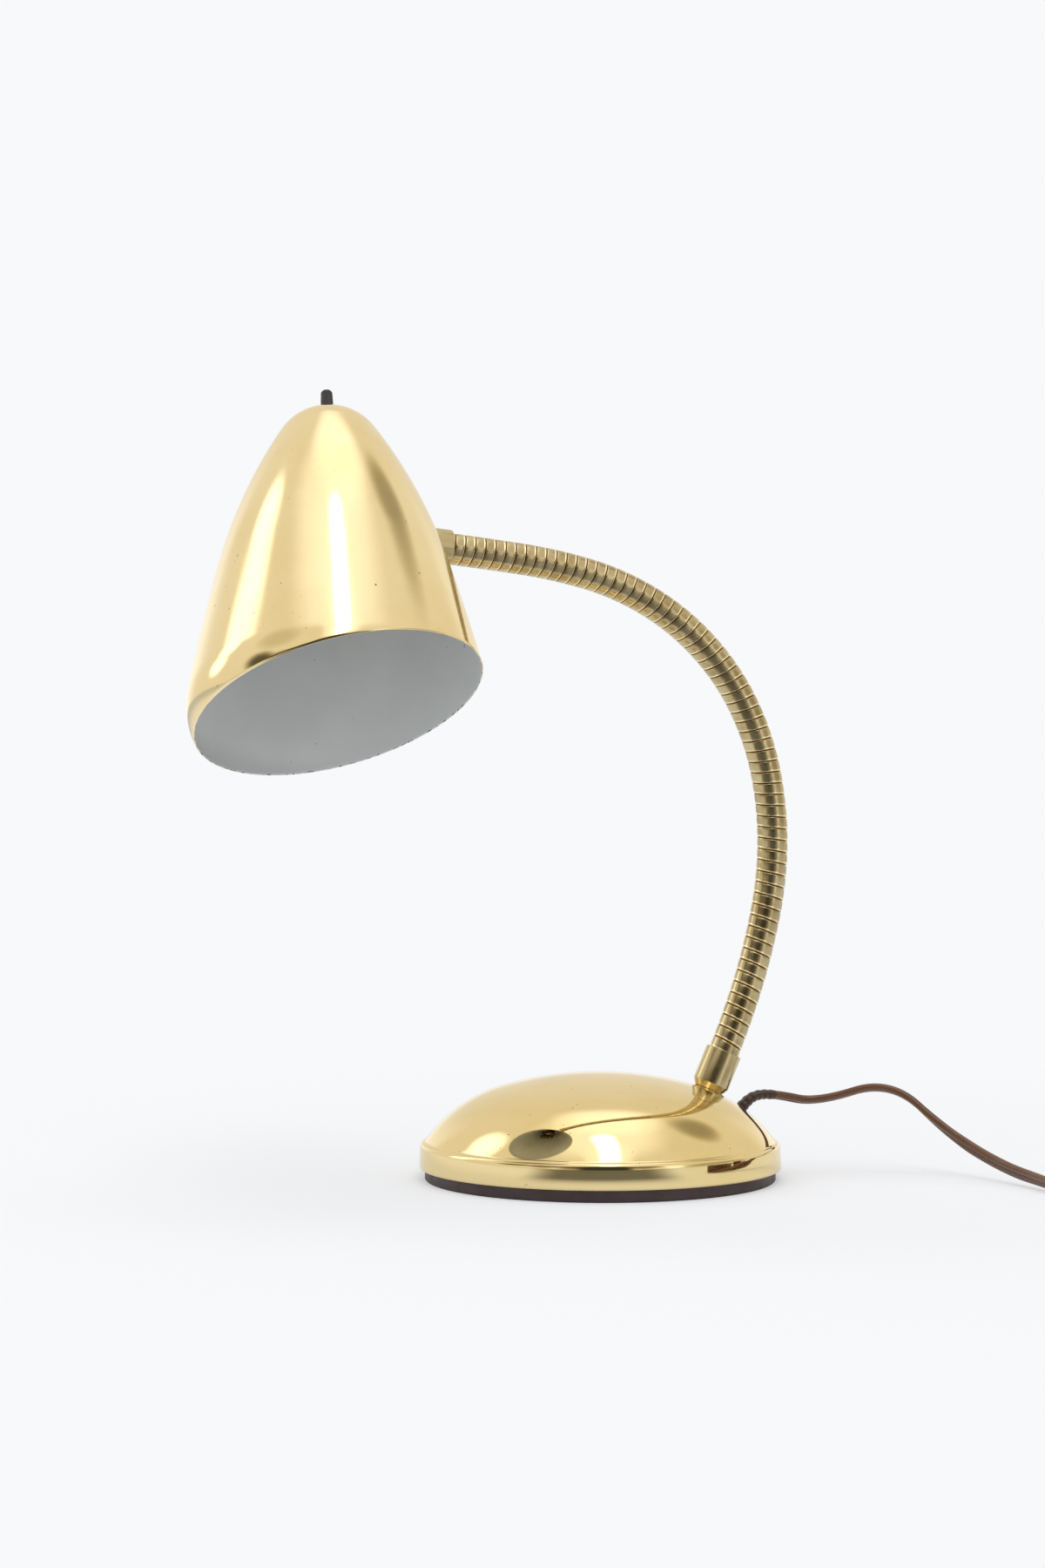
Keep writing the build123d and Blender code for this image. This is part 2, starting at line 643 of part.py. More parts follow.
# The leads leave the nipple, pass beside the strap and enter the cap from the side
lead_angle = radians(LEAD_ANGLE)
lead_beside = SOCKET_R + LEAD_R + SEAT_GAP * 2
lead_side = (shade_u * cos(lead_angle) + shade_v * sin(lead_angle)) * -1
nipple_end_u = upper_seat_u - upper_nipple_below
lead_route = [
    in_shade(nipple_end_u - LEAD_JOINT_GAP, 0, SHADE_S),
    in_shade(nipple_end_u - LEAD_RUN, 0, SHADE_S),
    pole - lead_side * lead_beside + shade_down * (SHADE_S - LEAD_DROP),
    pole - lead_side * lead_beside + shade_down * CAP_LEAD_S,
    pole - lead_side * (CAP_R - CAP_WALL - SEAT_GAP) + shade_down * CAP_LEAD_S,
]
lead_hole_center = pole - lead_side * CAP_R + shade_down * CAP_LEAD_S
cap_end_s = cap_s + CAP_L
bore_r = SCREW_SHELL_R + SCREW_SHELL_T + SEAT_GAP
socket_s = cap_end_s + SLIP_GAP
socket_end_s = cap_s + SOCKET_L
web_end_s = socket_s + SOCKET_WEB
collar_s = NOSE_R - sqrt((NOSE_R - SHADE_T) ** 2 - BUSH_COLLAR_R**2)

pole_spacer = turned([
    (BUSH_R + SLIP_GAP, collar_s),
    (BUSH_COLLAR_R, collar_s),
    (BUSH_COLLAR_R, STRAP_TOP_S),
    (BUSH_R + SLIP_GAP, STRAP_TOP_S),
])

flange_s = cap_s + CAP_WALL
switch_bushing = turned([
    (SHAFT_R + RUN_GAP, -BUSH_PAST_POLE),
    (BUSH_R, -BUSH_PAST_POLE),
    (BUSH_R, flange_s),
    (BUSH_FLANGE_R, flange_s),
    (BUSH_FLANGE_R, flange_s + BUSH_FLANGE_T),
    (SHAFT_R + RUN_GAP, flange_s + BUSH_FLANGE_T),
])

sleeve_nut = turned([
    (BUSH_R + SLIP_GAP, -BUSH_PAST_POLE),
    (SLEEVE_R, -BUSH_PAST_POLE),
    (SLEEVE_R, 0),
    (BUSH_R + SLIP_GAP, 0),
])

with BuildPart() as socket_cap:
    add(turned([
        (BUSH_R + SLIP_GAP, cap_s),
        (CAP_TOP_R, cap_s),
        (CAP_R, cap_s + CAP_SLOPE_L),
        (CAP_R, cap_end_s),
        (CAP_R - CAP_WALL, cap_end_s),
        (CAP_R - CAP_WALL, cap_s + CAP_SLOPE_L),
        (CAP_TOP_R - CAP_WALL, flange_s),
        (BUSH_R + SLIP_GAP, flange_s),
    ]))
    with BuildSketch(Plane(lead_hole_center, z_dir=lead_side)):
        Circle(LEAD_R + SEAT_GAP)
    extrude(amount=CAP_WALL * 2, both=True, mode=Mode.SUBTRACT)

with BuildPart() as socket_body:
    add(turned([
        (0, socket_s),
        (SOCKET_R, socket_s),
        (SOCKET_R, socket_end_s),
        (bore_r, socket_end_s),
        (bore_r, web_end_s),
        (0, web_end_s),
    ]))
    with BuildSketch(across(socket_s)):
        with PolarLocations(TERMINAL_CIRCLE, TERMINALS):
            Circle(TERMINAL_SHANK_R + SLIP_GAP)
    extrude(amount=SOCKET_WEB - SCREW_SHELL_T * 2, mode=Mode.SUBTRACT)

thread_s = web_end_s + CONTACT_RISE + SCREW_SHELL_T
thread_end_s = thread_s + SCREW_THREAD_L
screw_shell = turned([
    (SCREW_SHELL_R - SCREW_SHELL_T, web_end_s),
    (SCREW_SHELL_R + SCREW_SHELL_T, web_end_s),
    (SCREW_SHELL_R + SCREW_SHELL_T, thread_end_s),
    (SCREW_SHELL_R, thread_end_s),
    (SCREW_SHELL_R, thread_s),
])

center_contact = turned([
    (0, web_end_s),
    (CONTACT_R, web_end_s),
    (CONTACT_R, web_end_s + CONTACT_T),
    (CONTACT_DOME_R, web_end_s + CONTACT_T),
    (CONTACT_TIP_R, web_end_s + CONTACT_RISE),
    (0, web_end_s + CONTACT_RISE),
])

with BuildPart() as terminal_screws:
    with BuildSketch(across(socket_s)):
        with PolarLocations(TERMINAL_CIRCLE, TERMINALS):
            Circle(TERMINAL_R)
    extrude(amount=-TERMINAL_H)
    with BuildSketch(across(socket_s)):
        with PolarLocations(TERMINAL_CIRCLE, TERMINALS):
            Circle(TERMINAL_SHANK_R)
    extrude(amount=SOCKET_WEB - SCREW_SHELL_T * 2 - SLIP_GAP)

rotor_s = flange_s + BUSH_FLANGE_T + ROTOR_GAP
knob_s = -BUSH_PAST_POLE - KNOB_GAP
shaft_top_s = knob_s - KNOB_GRIP + SLIP_GAP
switch_shaft = turned([
    (0, shaft_top_s),
    (SHAFT_R, shaft_top_s),
    (SHAFT_R, rotor_s),
    (ROTOR_R, rotor_s),
    (ROTOR_R, rotor_s + ROTOR_H),
    (0, rotor_s + ROTOR_H),
])

knob_plane = Plane(pole + shade_down * knob_s, x_dir=shade_u, z_dir=shade_up)
with BuildPart() as switch_knob:
    with BuildSketch(knob_plane):
        Circle(KNOB_R_BOTTOM)
    extrude(amount=KNOB_H, taper=degrees(atan2(KNOB_R_BOTTOM - KNOB_R_TOP, KNOB_H)))
    fillet(switch_knob.faces().sort_by(Axis(pole, shade_up))[-1].edges(), KNOB_CROWN)
    with BuildSketch(knob_plane):
        with PolarLocations(KNOB_R_BOTTOM, KNOB_RIBS):
            Circle(KNOB_RIB_R)
    extrude(amount=KNOB_H - KNOB_CROWN, taper=0, mode=Mode.SUBTRACT)
    with BuildSketch(knob_plane):
        Circle(SHAFT_R + RUN_GAP)
    extrude(amount=KNOB_GRIP, mode=Mode.SUBTRACT)

with BuildPart() as socket_lead:
    with BuildLine() as lead_run:
        FilletPolyline(*lead_route, radius=LEAD_BEND)
    with BuildSketch(Plane(lead_route[0], z_dir=lead_route[1] - lead_route[0])):
        Circle(LEAD_R)
    sweep(path=lead_run.wire())


# ---- cord -----------------------------------------------------------------------------------

cord_lean = lean(CORD_LEAN)
with BuildPart() as cord_grommet:
    with BuildSketch(cord_exit_plane):
        Circle(GROMMET_R)
    extrude(amount=GROMMET_FLANGE, taper=GROMMET_TAPER)
    with BuildSketch(cord_exit_plane):
        Circle(GROMMET_NECK_R)
    extrude(amount=-GROMMET_L)
    with BuildSketch(Plane(cord_exit, x_dir=Y_AXIS, z_dir=cord_lean)):
        Circle(CORD_R)
    extrude(amount=GROMMET_L * 2, both=True, mode=Mode.SUBTRACT)

cord_start = cord_exit + cord_lean * GROMMET_FLANGE
cord_route = [
    cord_start,
    cord_start + cord_lean * CORD_FIRST_RUN,
    Vector(88.0, -0.5, 35.2),
    Vector(107.0, -4.5, 30.8),
    Vector(137.0, -22.0, 42.5),
    Vector(155.0, -46.0, 18.5),
    Vector(166.0, -78.0, 4.4),
    Vector(170.5, -113.0, 2.6),
    Vector(167.0, -150.0, 2.6),
    Vector(167.0, -184.0, 2.6),
]
tail_route = [
    Vector(233.0, -184.0, 3.4),
    Vector(233.0, -162.0, 4.4),
    Vector(231.0, -142.0, 6.6),
]


def corner_radii(route):
    """Largest arc that the shorter run at each corner leaves room for."""
    radii = []
    for before, corner, after in zip(route, route[1:], route[2:]):
        turn = (corner - before).get_angle(after - corner)
        run = min((corner - before).length, (after - corner).length)
        radii.append(ARC_SHARE * run / tan(radians(turn) / 2))
    return radii


def cord_tube(route):
    """Plain tube along a route of straight runs joined by tangent arcs."""
    radii = corner_radii(route)
    with BuildPart() as tube:
        with BuildLine() as run:
            FilletPolyline(*route, radius=radii)
        with BuildSketch(Plane(route[0], z_dir=route[1] - route[0])):
            Circle(CORD_R)
        sweep(path=run.wire())
    print("cord radii", [round(r, 1) for r in radii], "length", round(run.wire().length, 1),
          "volume ratio", round(tube.part.volume / (pi * CORD_R**2 * run.wire().length), 4))
    return tube.part


def coil_ring(inset):
    """Bundle of turns lying on the floor, its section moved in by inset."""
    with BuildPart() as ring:
        with BuildSketch(Plane.XZ.offset(-COIL_CENTER[1])):
            with Locations((COIL_CENTER[0] + COIL_R, COIL_H / 2)):
                RectangleRounded(COIL_W - inset * 2, COIL_H - inset * 2, COIL_EDGE)
        revolve(axis=Axis((*COIL_CENTER, 0), (0, 0, 1)))
    return ring.part


tie_spot = Plane((COIL_CENTER[0], COIL_CENTER[1] - COIL_R, COIL_H / 2))
full_ring = coil_ring(0)
tied_ring = coil_ring(TIE_T)
with BuildPart() as cord_coil:
    add(full_ring)
    with BuildSketch(tie_spot):
        Rectangle(TIE_W, COIL_W * 2)
    extrude(amount=COIL_H, both=True, mode=Mode.SUBTRACT)
    add(tied_ring)

with BuildPart() as cord_tie:
    with BuildSketch(tie_spot):
        Rectangle(TIE_W, COIL_W + SEAT_GAP * 2)
    extrude(amount=COIL_H, both=True)
    add(full_ring, mode=Mode.INTERSECT)
    add(tied_ring, mode=Mode.SUBTRACT)

plug_back = tail_route[-1]
with BuildPart() as plug_body:
    with BuildSketch(Plane(plug_back, x_dir=X_AXIS, z_dir=Y_AXIS)):
        RectangleRounded(PLUG_BACK_W, PLUG_H, PLUG_EDGE)
    with BuildSketch(Plane(plug_back + Y_AXIS * PLUG_L, x_dir=X_AXIS, z_dir=Y_AXIS)):
        RectangleRounded(PLUG_W, PLUG_H, PLUG_EDGE)
    loft()

with BuildPart() as plug_blades:
    with BuildSketch(Plane(plug_back + Y_AXIS * PLUG_L, x_dir=X_AXIS, z_dir=Y_AXIS)):
        with GridLocations(BLADE_PITCH, 0, 2, 1):
            Rectangle(BLADE_T, BLADE_W)
    extrude(amount=BLADE_L)

lead_below = neck_foot - lean(neck_tilt) * (base_nipple_below + LEAD_JOINT_GAP)
base_lead_route = [
    cord_exit - cord_lean * (GROMMET_L + LEAD_JOINT_GAP),
    cord_exit - cord_lean * (GROMMET_L + LEAD_BEND * 2),
    lead_below - lean(neck_tilt) * LEAD_RUN,
    lead_below,
]
with BuildPart() as base_lead:
    with BuildLine() as base_lead_run:
        FilletPolyline(*base_lead_route, radius=LEAD_BEND)
    with BuildSketch(Plane(base_lead_route[0], z_dir=base_lead_route[1] - base_lead_route[0])):
        Circle(LEAD_R)
    sweep(path=base_lead_run.wire())

# ---- named pieces ---------------------------------------------------------------------------

pieces = {
    "base_shell": base_shell.part,
    "base_weight": base_weight.part,
    "base_cup": base_cup.part,
    "cup_screws": cup_screws.part,
    "slug_stud": slug_stud.part,
    "slug_washer": slug_washer.part,
    "slug_nut": slug_nut.part,
    "base_lead": base_lead.part,
    "base_nipple": base_nipple,
    "base_washer": base_washer,
    "base_nut": base_nut,
    "lower_ferrule": lower_ferrule,
    "upper_ferrule": upper_ferrule,
    "upper_nipple": upper_nipple,
    "upper_washer": upper_washer,
    "upper_nut": upper_nut,
    "shade_shell": shade_shell.part,
    "socket_strap": socket_strap.part,
    "pole_spacer": pole_spacer,
    "switch_bushing": switch_bushing,
    "sleeve_nut": sleeve_nut,
    "socket_cap": socket_cap.part,
    "socket_body": socket_body.part,
    "screw_shell": screw_shell,
    "center_contact": center_contact,
    "terminal_screws": terminal_screws.part,
    "socket_lead": socket_lead.part,
    "switch_shaft": switch_shaft,
    "switch_knob": switch_knob.part,
    "cord_grommet": cord_grommet.part,
    "cord": cord_tube(cord_route),
    "cord_coil": cord_coil.part,
    "cord_tie": cord_tie.part,
    "cord_tail": cord_tube(tail_route),
    "plug_body": plug_body.part,
    "plug_blades": plug_blades.part,
}
for number, (neck_link, wires) in enumerate(zip(neck_links, neck_wires), start=1):
    pieces[f"neck_link_{number:02d}"] = neck_link
    pieces[f"neck_leads_{number:02d}"] = wires

for name, piece in pieces.items():
    piece.label = name
    export_step(piece, f"parts/{name}.step")
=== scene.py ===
import json
import math

import bmesh
import bpy
import numpy as np
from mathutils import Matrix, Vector


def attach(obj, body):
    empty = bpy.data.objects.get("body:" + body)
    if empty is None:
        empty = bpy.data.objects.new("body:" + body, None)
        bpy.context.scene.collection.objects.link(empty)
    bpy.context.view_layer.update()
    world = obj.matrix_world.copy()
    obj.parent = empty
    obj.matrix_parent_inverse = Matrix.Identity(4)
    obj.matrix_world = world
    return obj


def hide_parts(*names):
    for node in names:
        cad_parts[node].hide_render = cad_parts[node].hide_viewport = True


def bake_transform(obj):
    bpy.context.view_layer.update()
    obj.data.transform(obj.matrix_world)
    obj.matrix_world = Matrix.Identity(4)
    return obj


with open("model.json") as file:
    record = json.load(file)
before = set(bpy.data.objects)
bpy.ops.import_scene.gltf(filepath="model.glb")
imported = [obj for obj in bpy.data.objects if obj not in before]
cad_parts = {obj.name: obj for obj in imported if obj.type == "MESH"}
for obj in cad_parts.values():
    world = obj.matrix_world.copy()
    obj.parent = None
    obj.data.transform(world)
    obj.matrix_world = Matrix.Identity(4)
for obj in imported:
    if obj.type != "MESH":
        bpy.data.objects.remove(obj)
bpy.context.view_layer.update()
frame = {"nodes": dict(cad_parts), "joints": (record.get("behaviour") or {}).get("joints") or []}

# Gooseneck desk lamp, in metres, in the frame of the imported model: +Z up, origin at the centre of
# the base's underside, neck at +X, shade at -X, and the camera on the -Y side.

MM = 0.001

# ---- places read from the frame --------------------------------------------------------------

joints = {joint["name"]: joint for joint in frame["joints"]}
neck_joints = [joint for joint in frame["joints"] if joint["name"].startswith("neck_")]
shade_u = Vector(joints["shade_swivel"]["axis"])           # from the shade's axis along the neck
shade_down = -Vector(joints["switch_turn"]["axis"])        # from the shade's pole to its mouth
shade_v = shade_u.cross(shade_down)
shade_center = Vector(joints["shade_swivel"]["pos_m"])
pole = Vector(joints["switch_turn"]["pos_m"])

# ---- sizes that the looks share with the solids ----------------------------------------------

# Base
BASE_R = 82.5 * MM
SHELL_T = 1.0 * MM
RIM_Z = 5.6 * MM
DOME_TOP = 48.0 * MM
LEDGE_Z = 17.2 * MM
CROWN_R = 165.0 * MM
FLANK_R = 64.0 * MM
SHOULDER_R = 2.1 * MM
LEDGE = 0.4 * MM
RIM_LEAN = 4.2                # the slightly bowed rim's top leans in by this angle, in degrees
NECK_FOOT_R = 54.0 * MM
CORD_EXIT_R = 69.5 * MM

# Ferrules
FERRULE_R = 8.45 * MM
FERRULE_L = 19.0 * MM
FERRULE_FOOT_R = 6.6 * MM
FERRULE_FOOT_H = 3.0 * MM
FERRULE_BORE_R = 6.45 * MM
FERRULE_FLARE_R = 7.3 * MM
FERRULE_FLARE_H = 3.0 * MM
FERRULE_LIP = 0.75 * MM       # width of the flat end face
FERRULE_LIP_SINK = 0.8 * MM
FERRULE_ROUNDING = 0.35 * MM

# Neck
SHADE_REACH = 54.8 * MM

# Shade
SHADE_T = 0.6 * MM
NOSE_R = 26.0 * MM
NOSE_EDGE = math.radians(30)
WAIST_S, WAIST_R = 84.7 * MM, 51.6 * MM
HEM_S, HEM_R = 142.0 * MM, 64.6 * MM
LIP_R = 30.0 * MM
LIP_END_S = 168.0 * MM
MOUTH_S = 147.5 * MM
MOUTH_CUT = math.radians(12.3)
MOUTH_TURN = math.radians(10)
SHADE_COLUMNS, SHADE_ROWS = 300, 150
CHIP_REACH = 12.0 * MM        # the enamel is chipped up to this distance from the mouth

# Knob
KNOB_R_TOP = 2.6 * MM
KNOB_R_BOTTOM = 2.95 * MM
KNOB_H = 9.2 * MM
KNOB_CROWN = 1.6 * MM
KNOB_RIBS = 14
KNOB_RIB_STEPS = 12           # points round one rib
KNOB_RIB_DEPTH = 0.16 * MM
KNOB_RIB_FADE = 1.2 * MM      # height over which the ribs fade out below the crown
KNOB_FOOT_SHARE = 0.93        # the lowest edge is drawn in to this share of the radius
KNOB_FOOT_S = -2.7 * MM       # distance of the knob's lower end from the pole, towards the mouth

# Cord
CORD_W = 6.3 * MM
CORD_H = 3.4 * MM


# ---- meshes ----------------------------------------------------------------------------------

def grid_mesh(name, points, uv, wrap=True, material_rows=None):
    """A smooth mesh from rows of points; uv is (around, along) per point, with one more column if
    the rows are closed. material_rows gives the material index of each band between rows."""
    rows, columns = points.shape[:2]
    spans = columns if wrap else columns - 1
    mesh = bpy.data.meshes.new(name)
    faces = []
    for i in range(rows - 1):
        for j in range(spans):
            k = (j + 1) % columns
            faces.append((i * columns + j, i * columns + k, (i + 1) * columns + k, (i + 1) * columns + j))
    mesh.from_pydata(points.reshape(-1, 3).tolist(), [], faces)
    layer = mesh.uv_layers.new(name="UVMap")
    corners = np.array([
        uv[i + di, j + dj]
        for i in range(rows - 1)
        for j in range(spans)
        for di, dj in ((0, 0), (0, 1), (1, 1), (1, 0))
    ])
    layer.data.foreach_set("uv", corners.astype(np.float32).ravel())
    if material_rows is not None:
        mesh.polygons.foreach_set("material_index", np.repeat(material_rows, spans).astype(np.int32))
    mesh.polygons.foreach_set("use_smooth", np.ones(len(faces), bool))
    return mesh


def merged(mesh, closed=True):
    """Joins the points that coincide at poles and seams, and turns the faces of a closed mesh out."""
    work = bmesh.new()
    work.from_mesh(mesh)
    bmesh.ops.remove_doubles(work, verts=work.verts, dist=1e-7)
    if closed:
        bmesh.ops.recalc_face_normals(work, faces=work.faces)
    work.to_mesh(mesh)
    work.free()
    return mesh


def piece(name, mesh, materials, body=None, replaces=()):
    """A piece of the lamp from a mesh, with its materials, body and the nodes it replaces."""
    made = bpy.data.objects.new(name, mesh)
    bpy.context.scene.collection.objects.link(made)
    for material in materials:
        mesh.materials.append(material)
    if replaces:
        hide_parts(*replaces)
    if body:
        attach(made, body)
    return made


def lathe(name, origin, axis, across, outline, segments):
    """Mesh turned about an axis from a closed outline of (radius, distance along the axis)."""
    outline = np.array(list(outline) + [outline[0]])
    side = axis.cross(across)
    turn = np.linspace(0, 2 * math.pi, segments, endpoint=False)
    spokes = np.outer(np.cos(turn), across) + np.outer(np.sin(turn), side)
    points = (
        np.array(origin)
        + outline[:, 1, None, None] * np.array(axis)
        + outline[:, 0, None, None] * spokes
    )
    along = np.r_[0, np.cumsum(np.hypot(*np.diff(outline, axis=0).T))]
    around = np.arange(segments + 1) / segments
    uv = np.stack(np.broadcast_arrays(around[None, :], along[:, None]), axis=-1)
    return merged(grid_mesh(name, points, uv))


def arc(center, radius, start, end, count=12):
    """Points of an arc; the angles are in degrees from the first coordinate's axis."""
    angles = np.radians(np.linspace(start, end, count))
    return [(center[0] + radius * math.cos(a), center[1] + radius * math.sin(a)) for a in angles]


def rounded(outline, radius, count=4):
    """Closed outline with every corner replaced by a small arc-like curve."""
    result = []
    corners = [np.array(p, float) for p in outline]
    for before, corner, after in zip(corners[-1:] + corners[:-1], corners, corners[1:] + corners[:1]):
        back, on = before - corner, after - corner
        reach = min(radius, 0.45 * np.linalg.norm(back), 0.45 * np.linalg.norm(on))
        start = corner + back / np.linalg.norm(back) * reach
        end = corner + on / np.linalg.norm(on) * reach
        for t in np.linspace(0, 1, count):
            result.append(tuple((1 - t) ** 2 * start + 2 * t * (1 - t) * corner + t * t * end))
    return result


# ---- materials -------------------------------------------------------------------------------

class Shader:
    """A material's node tree with short ways to add and join nodes."""

    def __init__(self, name):
        self.material = bpy.data.materials.new(name)
        self.material.use_nodes = True
        self.tree = self.material.node_tree
        self.surface = self.tree.nodes["Principled BSDF"]

    def add(self, kind, inputs=None, **settings):
        node = self.tree.nodes.new("ShaderNode" + kind)
        for key, value in settings.items():
            setattr(node, key, value)
        for key, value in (inputs or {}).items():
            self.join(value, node.inputs[key])
        return node

    def join(self, value, socket):
        if isinstance(value, bpy.types.NodeSocket):
            self.tree.links.new(value, socket)
        else:
            socket.default_value = value

    def set(self, **inputs):
        """Sets or joins the surface's inputs, named in small letters."""
        names = {
            "color": "Base Color", "metallic": "Metallic", "roughness": "Roughness", "normal": "Normal",
            "tangent": "Tangent", "anisotropic": "Anisotropic",
            "anisotropic_rotation": "Anisotropic Rotation",
        }
        for key, value in inputs.items():
            self.join(value, self.surface.inputs[names[key]])
        return self.material

    def uv(self, scale=(1, 1, 1)):
        node = self.add("UVMap")
        return self.add("Mapping", {"Vector": node.outputs[0], "Scale": scale}).outputs[0]

    def place(self, scale=(1, 1, 1)):
        node = self.add("TexCoord")
        return self.add("Mapping", {"Vector": node.outputs["Object"], "Scale": scale}).outputs[0]

    def noise(self, vector, scale, detail=3.0, roughness=0.5):
        return self.add("TexNoise", {"Vector": vector, "Scale": scale, "Detail": detail,
                                     "Roughness": roughness}).outputs[0]

    def ramp(self, value, low, high, bottom=0.0, top=1.0):
        """Smooth step from bottom to top as the value goes from low to high."""
        return self.add("MapRange", {"Value": value, "From Min": low, "From Max": high, "To Min": bottom,
                                     "To Max": top}, interpolation_type="SMOOTHSTEP").outputs[0]

    def mix(self, share, first, second):
        node = self.add("Mix", data_type="RGBA")
        for index, value in ((0, share), (6, first), (7, second)):
            self.join(value, node.inputs[index])
        return node.outputs[2]

    def grain(self, vector, scale, detail, bottom, top):
        """Value that drifts between bottom and top with a noise."""
        return self.ramp(self.noise(vector, scale, detail), 0.3, 0.7, bottom, top)

    def math(self, operation, first, second=0.0):
        node = self.add("Math", operation=operation)
        self.join(first, node.inputs[0])
        self.join(second, node.inputs[1])
        return node.outputs[0]

    def stretch(self, share):
        """Stretches the reflections along the second UV axis."""
        tangent = self.add("Tangent", direction_type="UV_MAP", uv_map="UVMap").outputs[0]
        self.set(anisotropic=share, anisotropic_rotation=0.25, tangent=tangent)

    def bump(self, height, distance, normal=None):
        inputs = {"Height": height, "Distance": distance, "Strength": 1.0}
        if normal is not None:
            inputs["Normal"] = normal
        return self.add("Bump", inputs).outputs[0]


def rgb(red, green, blue):
    """Linear colour from sRGB values of 0 to 255."""
    def linear(value):
        value /= 255
        return value / 12.92 if value <= 0.04045 else ((value + 0.055) / 1.055) ** 2.4
    return (linear(red), linear(green), linear(blue), 1.0)


def brass(name, color, tarnish, gloss, dull, spread, lines, wave=0.0002):
    """Worn brass: colour drifts to tarnish in soft patches and gloss to dull. lines is the depth of
    the fine turned lines, and spread stretches the reflections across them. wave is the height of
    the sheet's slow unevenness. All heights are in metres."""
    shader = Shader(name)
    place = shader.place()
    patches = shader.noise(place, 16.0, detail=5.0, roughness=0.6)
    base = shader.mix(shader.ramp(patches, 0.38, 0.72), color, tarnish)
    speck = shader.noise(place, 620.0, detail=1.0)
    base = shader.mix(shader.ramp(speck, 0.775, 0.81), base, rgb(120, 96, 56))
    smudge = shader.noise(place, 48.0, detail=5.0, roughness=0.65)
    scratch = shader.noise(shader.place((30.0, 260.0, 900.0)), 1.0, detail=3.0, roughness=0.7)
    wear = shader.math("ADD", smudge, shader.math("MULTIPLY", scratch, 0.35))
    roughness = shader.ramp(wear, 0.45, 0.95, gloss, dull)
    normal = shader.bump(shader.noise(place, 11.0, detail=1.0), wave)
    turned = shader.noise(shader.uv((5.0, 7000.0, 1.0)), 1.0, detail=2.0)
    normal = shader.bump(turned, lines, normal=normal)
    shader.stretch(spread)
    return shader.set(color=base, metallic=1.0, roughness=roughness, normal=normal)


def neck_brass(name):
    """Dull brass of the gooseneck, with painted shade that darkens the groove to brown and a painted
    highlight that lightens the lip beside it. The second UV value is the share of a turn's width."""
    shader = Shader(name)
    across = shader.add("SeparateXYZ", {"Vector": shader.add("UVMap").outputs[0]}).outputs[1]
    # painted shade: mask of the groove between the turns, darkened to brown below
    groove_shade = shader.math("ADD", shader.ramp(across, 0.05, 0.09, 1.0, 0.0),
                         shader.ramp(across, 0.935, 0.98, 0.0, 1.0))
    # painted highlight: mask of the lip beside the groove, lightened below
    lip = shader.math("MULTIPLY", shader.ramp(across, 0.08, 0.11),
                      shader.ramp(across, 0.18, 0.26, 1.0, 0.0))
    place = shader.place()
    patches = shader.noise(place, 70.0, detail=5.0, roughness=0.65)
    base = shader.mix(shader.ramp(patches, 0.35, 0.7), rgb(204, 187, 145), rgb(178, 160, 116))
    # painted highlight on the lip
    base = shader.mix(lip, base, rgb(250, 232, 184))
    # painted shade in the groove
    base = shader.mix(groove_shade, base, rgb(118, 84, 42))
    roughness = shader.grain(place, 160.0, 4.0, 0.20, 0.26)
    normal = shader.bump(shader.noise(place, 420.0, detail=2.0), 0.000004)
    shader.stretch(0.5)
    return shader.set(color=base, metallic=1.0, roughness=roughness, normal=normal)


def enamel(name):
    """Pale grey-white paint inside the shade, chipped to brown along the mouth. The mesh's rim value
    is 0 at the mouth and 1 at CHIP_REACH from it."""
    shader = Shader(name)
    place = shader.place()
    drift = shader.noise(place, 18.0, detail=3.0)
    base = shader.mix(shader.ramp(drift, 0.3, 0.7), rgb(216, 217, 215), rgb(206, 208, 207))
    rim = shader.add("Attribute", attribute_name="rim").outputs["Fac"]
    chips = shader.noise(place, 330.0, detail=4.0, roughness=0.7)
    chip = shader.ramp(shader.math("SUBTRACT", chips, shader.math("MULTIPLY", rim, 2.6)), 0.53, 0.57)
    specks = shader.ramp(shader.noise(place, 260.0, detail=2.0), 0.73, 0.76)
    base = shader.mix(shader.math("MULTIPLY", specks, 0.7), base, rgb(150, 136, 116))
    base = shader.mix(chip, base, rgb(88, 66, 44))
    normal = shader.bump(shader.noise(place, 700.0, detail=2.0), 0.00006)
    return shader.set(color=base, roughness=0.42, normal=normal)


def moulded(name, first, second, gloss, dull, grain, depth, scale=60.0):
    """Plastic, rubber or paint with a slight drift of colour and a fine grain of some depth."""
    shader = Shader(name)
    place = shader.place()
    drift = shader.noise(place, scale, detail=4.0)
    base = shader.mix(shader.ramp(drift, 0.3, 0.7), first, second)
    roughness = shader.grain(place, scale * 3, 3.0, gloss, dull)
    normal = shader.bump(shader.noise(place, grain, detail=2.0), depth)
    return shader.set(color=base, roughness=roughness, normal=normal)


